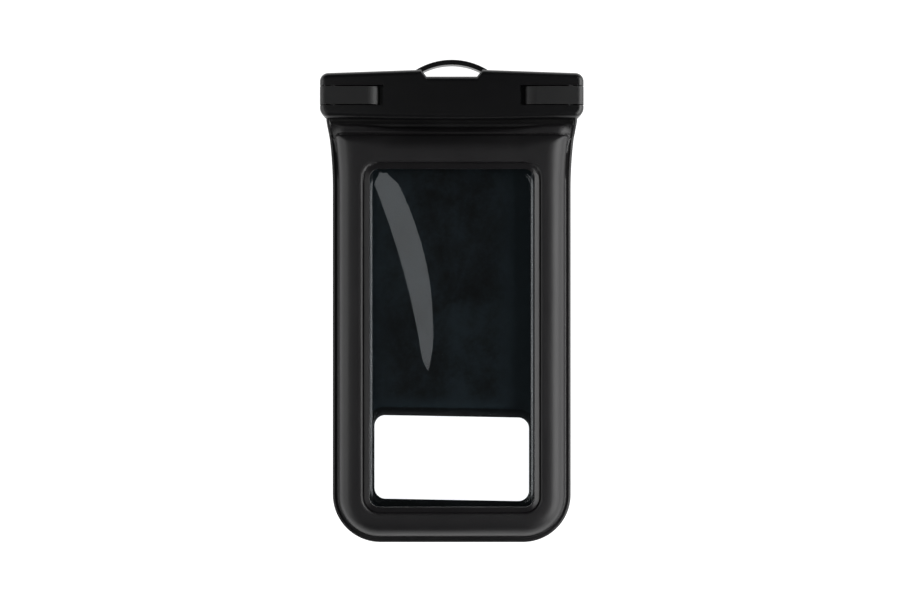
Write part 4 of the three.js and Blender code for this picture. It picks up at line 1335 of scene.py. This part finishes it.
class POUCH_OT_rear_film(PieceOperator, bpy.types.Operator):
    """Models the rear film with its camera hole and its climb to the clamp"""
    bl_idname = "pouch.rear_film"
    bl_label = "Rear film"

    def execute(self, context):
        sizes = context.scene.pouch_bag
        shape = BagShape(sizes)
        piece = ring_through("back_film", self.sections(shape, sizes))
        tone = context.scene.pouch_colours.panel
        film = panel_film("panel_black", tone, *self.hole(sizes), 3.6 * MM)
        dress(piece, MAIN_BODY, "black_film", film, "rear_film")
        return {"FINISHED"}

    def hole(self, sizes):
        """Half the camera hole's width, its lowest and highest y and the radius of its corners."""
        lap = sizes.camera_weld
        return CAMERA_HIGH.x - lap, CAMERA_LOW.y + lap, CAMERA_HIGH.y - lap, sizes.camera_corner

    def borders(self, shape, sizes):
        """Matching points on the film's outline and on the camera hole, which sits askew."""
        hole_x, hole_low, hole_high, arc = self.hole(sizes)
        hole_flat = hole_x - arc
        flat_x = shape.half_width - shape.corner
        side_low = shape.low_y + shape.corner
        end_x = shape.edge_x(shape.end_y)
        half = []
        for i in range(12):
            share = i / 12
            half.append(((flat_x * share, shape.low_y), (hole_flat * share, hole_low)))
        for angle in quarter(-math.pi / 2, 20):
            outer = on_arc((flat_x, side_low), shape.corner, angle)
            half.append((outer, on_arc((hole_flat, hole_low + arc), arc, angle)))
        for i in range(1, 48):
            share = i / 48
            y = side_low + (shape.end_y - side_low) * share
            inner_y = hole_low + arc + (hole_high - hole_low - 2 * arc) * share
            half.append(((shape.edge_x(y), y), (hole_x, inner_y)))
        # The end in the clamp: its outer quarters face the hole's corners, the rest its flat edge
        for i, angle in enumerate(quarter(0, 16)):
            outer = (end_x * (1 - 0.25 * i / 16), shape.end_y)
            half.append((outer, on_arc((hole_flat, hole_high - arc), arc, angle)))
        for i in range(1, 17):
            share = 1 - i / 16
            half.append(((0.75 * end_x * share, shape.end_y), (hole_flat * share, hole_high)))
        return [
            (outer, (inner[0], inner[1] - HOLE_ASKEW * inner[0]))
            for outer, inner in both_halves(half)
        ]

    def sections(self, shape, sizes):
        """Loops across the film, from its outline to the hole and back underneath."""
        edge_rows = [0.0, 0.15, 0.6, 1.1, 1.6, 2.4, 3.4, 4.2, 5, 5.8, 6.6, 7.4, 8.2, 9, 10, 11, 12, 13]
        edge_rows = [row * MM for row in edge_rows]
        sections = []
        for outer, inner in self.borders(shape, sizes):
            run = math.dist(outer, inner)
            last = edge_rows[-1]
            top = []
            under = []
            for row in edge_rows + [last + (run - last) * (i / 24) for i in range(1, 25)]:
                x, y = toward(outer, inner, row / run)
                z = shape.rear_z(y)
                rim = 0.12 * MM * ease(1 - row / (0.5 * MM))
                top.append(Vector((x, y, z + sizes.film_wall + self.swell(shape, x, y) - rim)))
                under.append(Vector((x, y, z + rim)))
            sections.append(top + under[::-1])
        return sections

    def swell(self, shape, x, y):
        """How far the film's face stands up: slow waves, and a low ridge above the camera hole."""
        past_lap = y - CAMERA_HIGH.y
        to_ramp = shape.ramp_start - y
        waves = ease(past_lap / (10 * MM)) * ease(to_ramp / (10 * MM))
        ridge = ease((past_lap - 0.2 * MM) / (3 * MM)) * (1 - 0.75 * ease((past_lap - 3 * MM) / (14 * MM)))
        ridge *= ease((shape.half_width - 12 * MM - abs(x)) / (8 * MM)) * ease(to_ramp / (20 * MM))
        return 0.12 * MM * (1 + waviness(x, y)) * waves + 0.9 * MM * ridge


class POUCH_OT_camera_window(PieceOperator, bpy.types.Operator):
    """Models the clear film over the camera hole"""
    bl_idname = "pouch.camera_window"
    bl_label = "Camera window"

    def execute(self, context):
        sizes = context.scene.pouch_bag
        alone()
        middle = (CAMERA_LOW + CAMERA_HIGH) / 2
        size = CAMERA_HIGH - CAMERA_LOW
        bpy.ops.mesh.primitive_plane_add(size=1, location=(middle.x, middle.y, CAMERA_LOW.z))
        piece = added("camera_film", (size.x, size.y, 1))
        editing(piece)
        pick(piece, "verts", lambda v: True)
        radius = sizes.camera_corner + sizes.camera_weld
        bpy.ops.mesh.bevel(offset=radius, segments=14, affect="VERTICES")
        bpy.ops.mesh.select_all(action="SELECT")
        bpy.ops.mesh.extrude_region_move(TRANSFORM_OT_translate={"value": (0, 0, 0.3 * MM)})
        face_outwards()
        for inset, lift in ((sizes.camera_weld, 0.0), (0.5 * MM, 0.12 * MM)):
            pick(piece, "faces", lambda f: f.normal.z > 0.9 and f.calc_area() > 0.002)
            bpy.ops.mesh.inset(thickness=inset, depth=lift)
        soften(piece, 0.06 * MM, 2)
        film = clear_film("camera_clear", 0.006, 0.03, 0.08 * MM, CAMERA_HIGH.x)
        dress(piece, MAIN_BODY, "clear_film", film, "rear_window")
        return {"FINISHED"}


class POUCH_OT_stage(PieceOperator, bpy.types.Operator):
    """Lays the pale floor and sets the camera, lamps and world"""
    bl_idname = "pouch.stage"
    bl_label = "Stage"

    def execute(self, context):
        scene = context.scene
        alone()
        bpy.ops.mesh.primitive_plane_add(size=6, location=(0, 0, -0.1 * MM))
        floor = added("floor")
        floor.data.materials.append(self.floor_material(scene.pouch_colours.floor))
        self.set_world(scene)
        self.set_lamps(scene)
        self.set_camera(scene)
        scene.view_settings.view_transform = "Standard"
        return {"FINISHED"}

    def floor_material(self, tone):
        """A pale floor that reads as white and still takes a soft shadow."""
        look = Look("pale_floor")
        camera, glossy, transmission = look.rays("Camera", "Glossy", "Transmission")
        seen = camera.maths("MAXIMUM", glossy).maths("MAXIMUM", transmission)
        plain = look.surface({
            "Base Color": look.tones(look.noise(look.place(), 180.0), tone, 0.985, 1.0),
            "Roughness": 0.9,
            "Specular IOR Level": 0.1,
        })
        glow = look.node("ShaderNodeEmission", None, {"Strength": 1.35}, out="Emission")
        return look.finish(look.mix(seen * 0.84, plain, glow))

    def set_world(self, scene):
        """A dim even sky, with a white backdrop that the camera sees and low gloss mirrors."""
        look = Look(bpy.data.worlds.new("studio"))
        camera, glossy, transmission = look.rays("Camera", "Glossy", "Transmission")
        way = look.node("ShaderNodeTexCoord", out="Generated")
        low = look.parts(way)[2].ramp(0.06, 0.12, 1.0, 0.0)
        seen = camera.maths("MAXIMUM", glossy.maths("MAXIMUM", transmission) * low)
        skies = []
        for tone, strength in (((0.93, 0.97, 1.0, 1.0), 0.025), ((1.0, 1.0, 1.0, 1.0), 1.0)):
            inputs = {"Color": tone, "Strength": strength}
            skies.append(look.node("ShaderNodeBackground", None, inputs, out="Background"))
        scene.world = look.finish(look.mix(seen, *skies), "ShaderNodeOutputWorld")

    def set_lamps(self, scene):
        """Soft boxes low on both sides, weaker ones higher up, and a slim one near the camera."""
        for name, place, size, radiance in (
            ("right_box", (0.50, -0.05, 0.27), (1.00, 0.46), 3.7),
            ("left_box", (-0.60, -0.05, 0.26), (0.90, 0.36), 1.7),
            ("left_high", (-0.42, -0.10, 0.56), (0.80, 0.25), 0.40),
            ("slim_box", (-0.265, 0.00, 0.80), (0.48, 0.12), 1.1),
            ("right_high", (0.34, -0.05, 0.74), (0.80, 0.26), 0.08),
        ):
            data = bpy.data.lights.new(name, "AREA")
            data.shape = "RECTANGLE"
            data.size, data.size_y = size  # along the pouch, then across it
            data.energy = radiance * math.pi * size[0] * size[1]
            lamp = bpy.data.objects.new(name, data)
            lamp.location = place
            aim = Vector((-place[0], 0, -place[2]))
            lamp.rotation_euler = aim.to_track_quat("-Z", "Y").to_euler()
            scene.collection.objects.link(lamp)

    def set_camera(self, scene):
        """Straight above the pouch, at the photograph's scale."""
        distance = 0.65
        subject_z = 0.006
        scale = 0.000458
        pixels = 900
        data = bpy.data.cameras.new("camera")
        data.sensor_width = 36
        data.lens = 36 * distance / (scale * pixels)
        camera = bpy.data.objects.new("camera", data)
        camera.location = (-0.0008, 0.0007, subject_z + distance)
        scene.collection.objects.link(camera)
        scene.camera = camera


STEPS = (
    POUCH_OT_stage,
    POUCH_OT_front_bar,
    POUCH_OT_rear_bar,
    POUCH_OT_latches,
    POUCH_OT_inserts,
    POUCH_OT_padded_skin,
    POUCH_OT_ring_fill,
    POUCH_OT_front_window,
    POUCH_OT_rear_film,
    POUCH_OT_camera_window,
)


class POUCH_PT_panel(bpy.types.Panel):
    """Lists the pouch's sizes, colours and steps"""
    bl_idname = "POUCH_PT_panel"
    bl_label = "Waterproof pouch"
    bl_space_type = "VIEW_3D"
    bl_region_type = "UI"
    bl_category = "Pouch"

    def draw(self, context):
        for group in ("pouch_bag", "pouch_clamp", "pouch_colours"):
            owner = getattr(context.scene, group)
            column = self.layout.column()
            for prop in owner.bl_rna.properties:
                if not prop.is_hidden and prop.identifier not in ("rna_type", "name"):
                    column.prop(owner, prop.identifier)
        for step in STEPS:
            self.layout.operator(step.bl_idname)


GROUPS = {
    "pouch_bag": PouchBagSizes,
    "pouch_clamp": PouchClampSizes,
    "pouch_colours": PouchColours,
}
CLASSES = (*GROUPS.values(), *STEPS, POUCH_PT_panel)


def register():
    for made in CLASSES:
        bpy.utils.register_class(made)
    for name, group in GROUPS.items():
        setattr(bpy.types.Scene, name, bpy.props.PointerProperty(type=group))


def unregister():
    for name in GROUPS:
        delattr(bpy.types.Scene, name)
    for made in reversed(CLASSES):
        bpy.utils.unregister_class(made)


def main():
    register()
    for step in STEPS:
        group, action = step.bl_idname.split(".")
        getattr(getattr(bpy.ops, group), action)()
    alone()


if __name__ == "__main__":
    main()
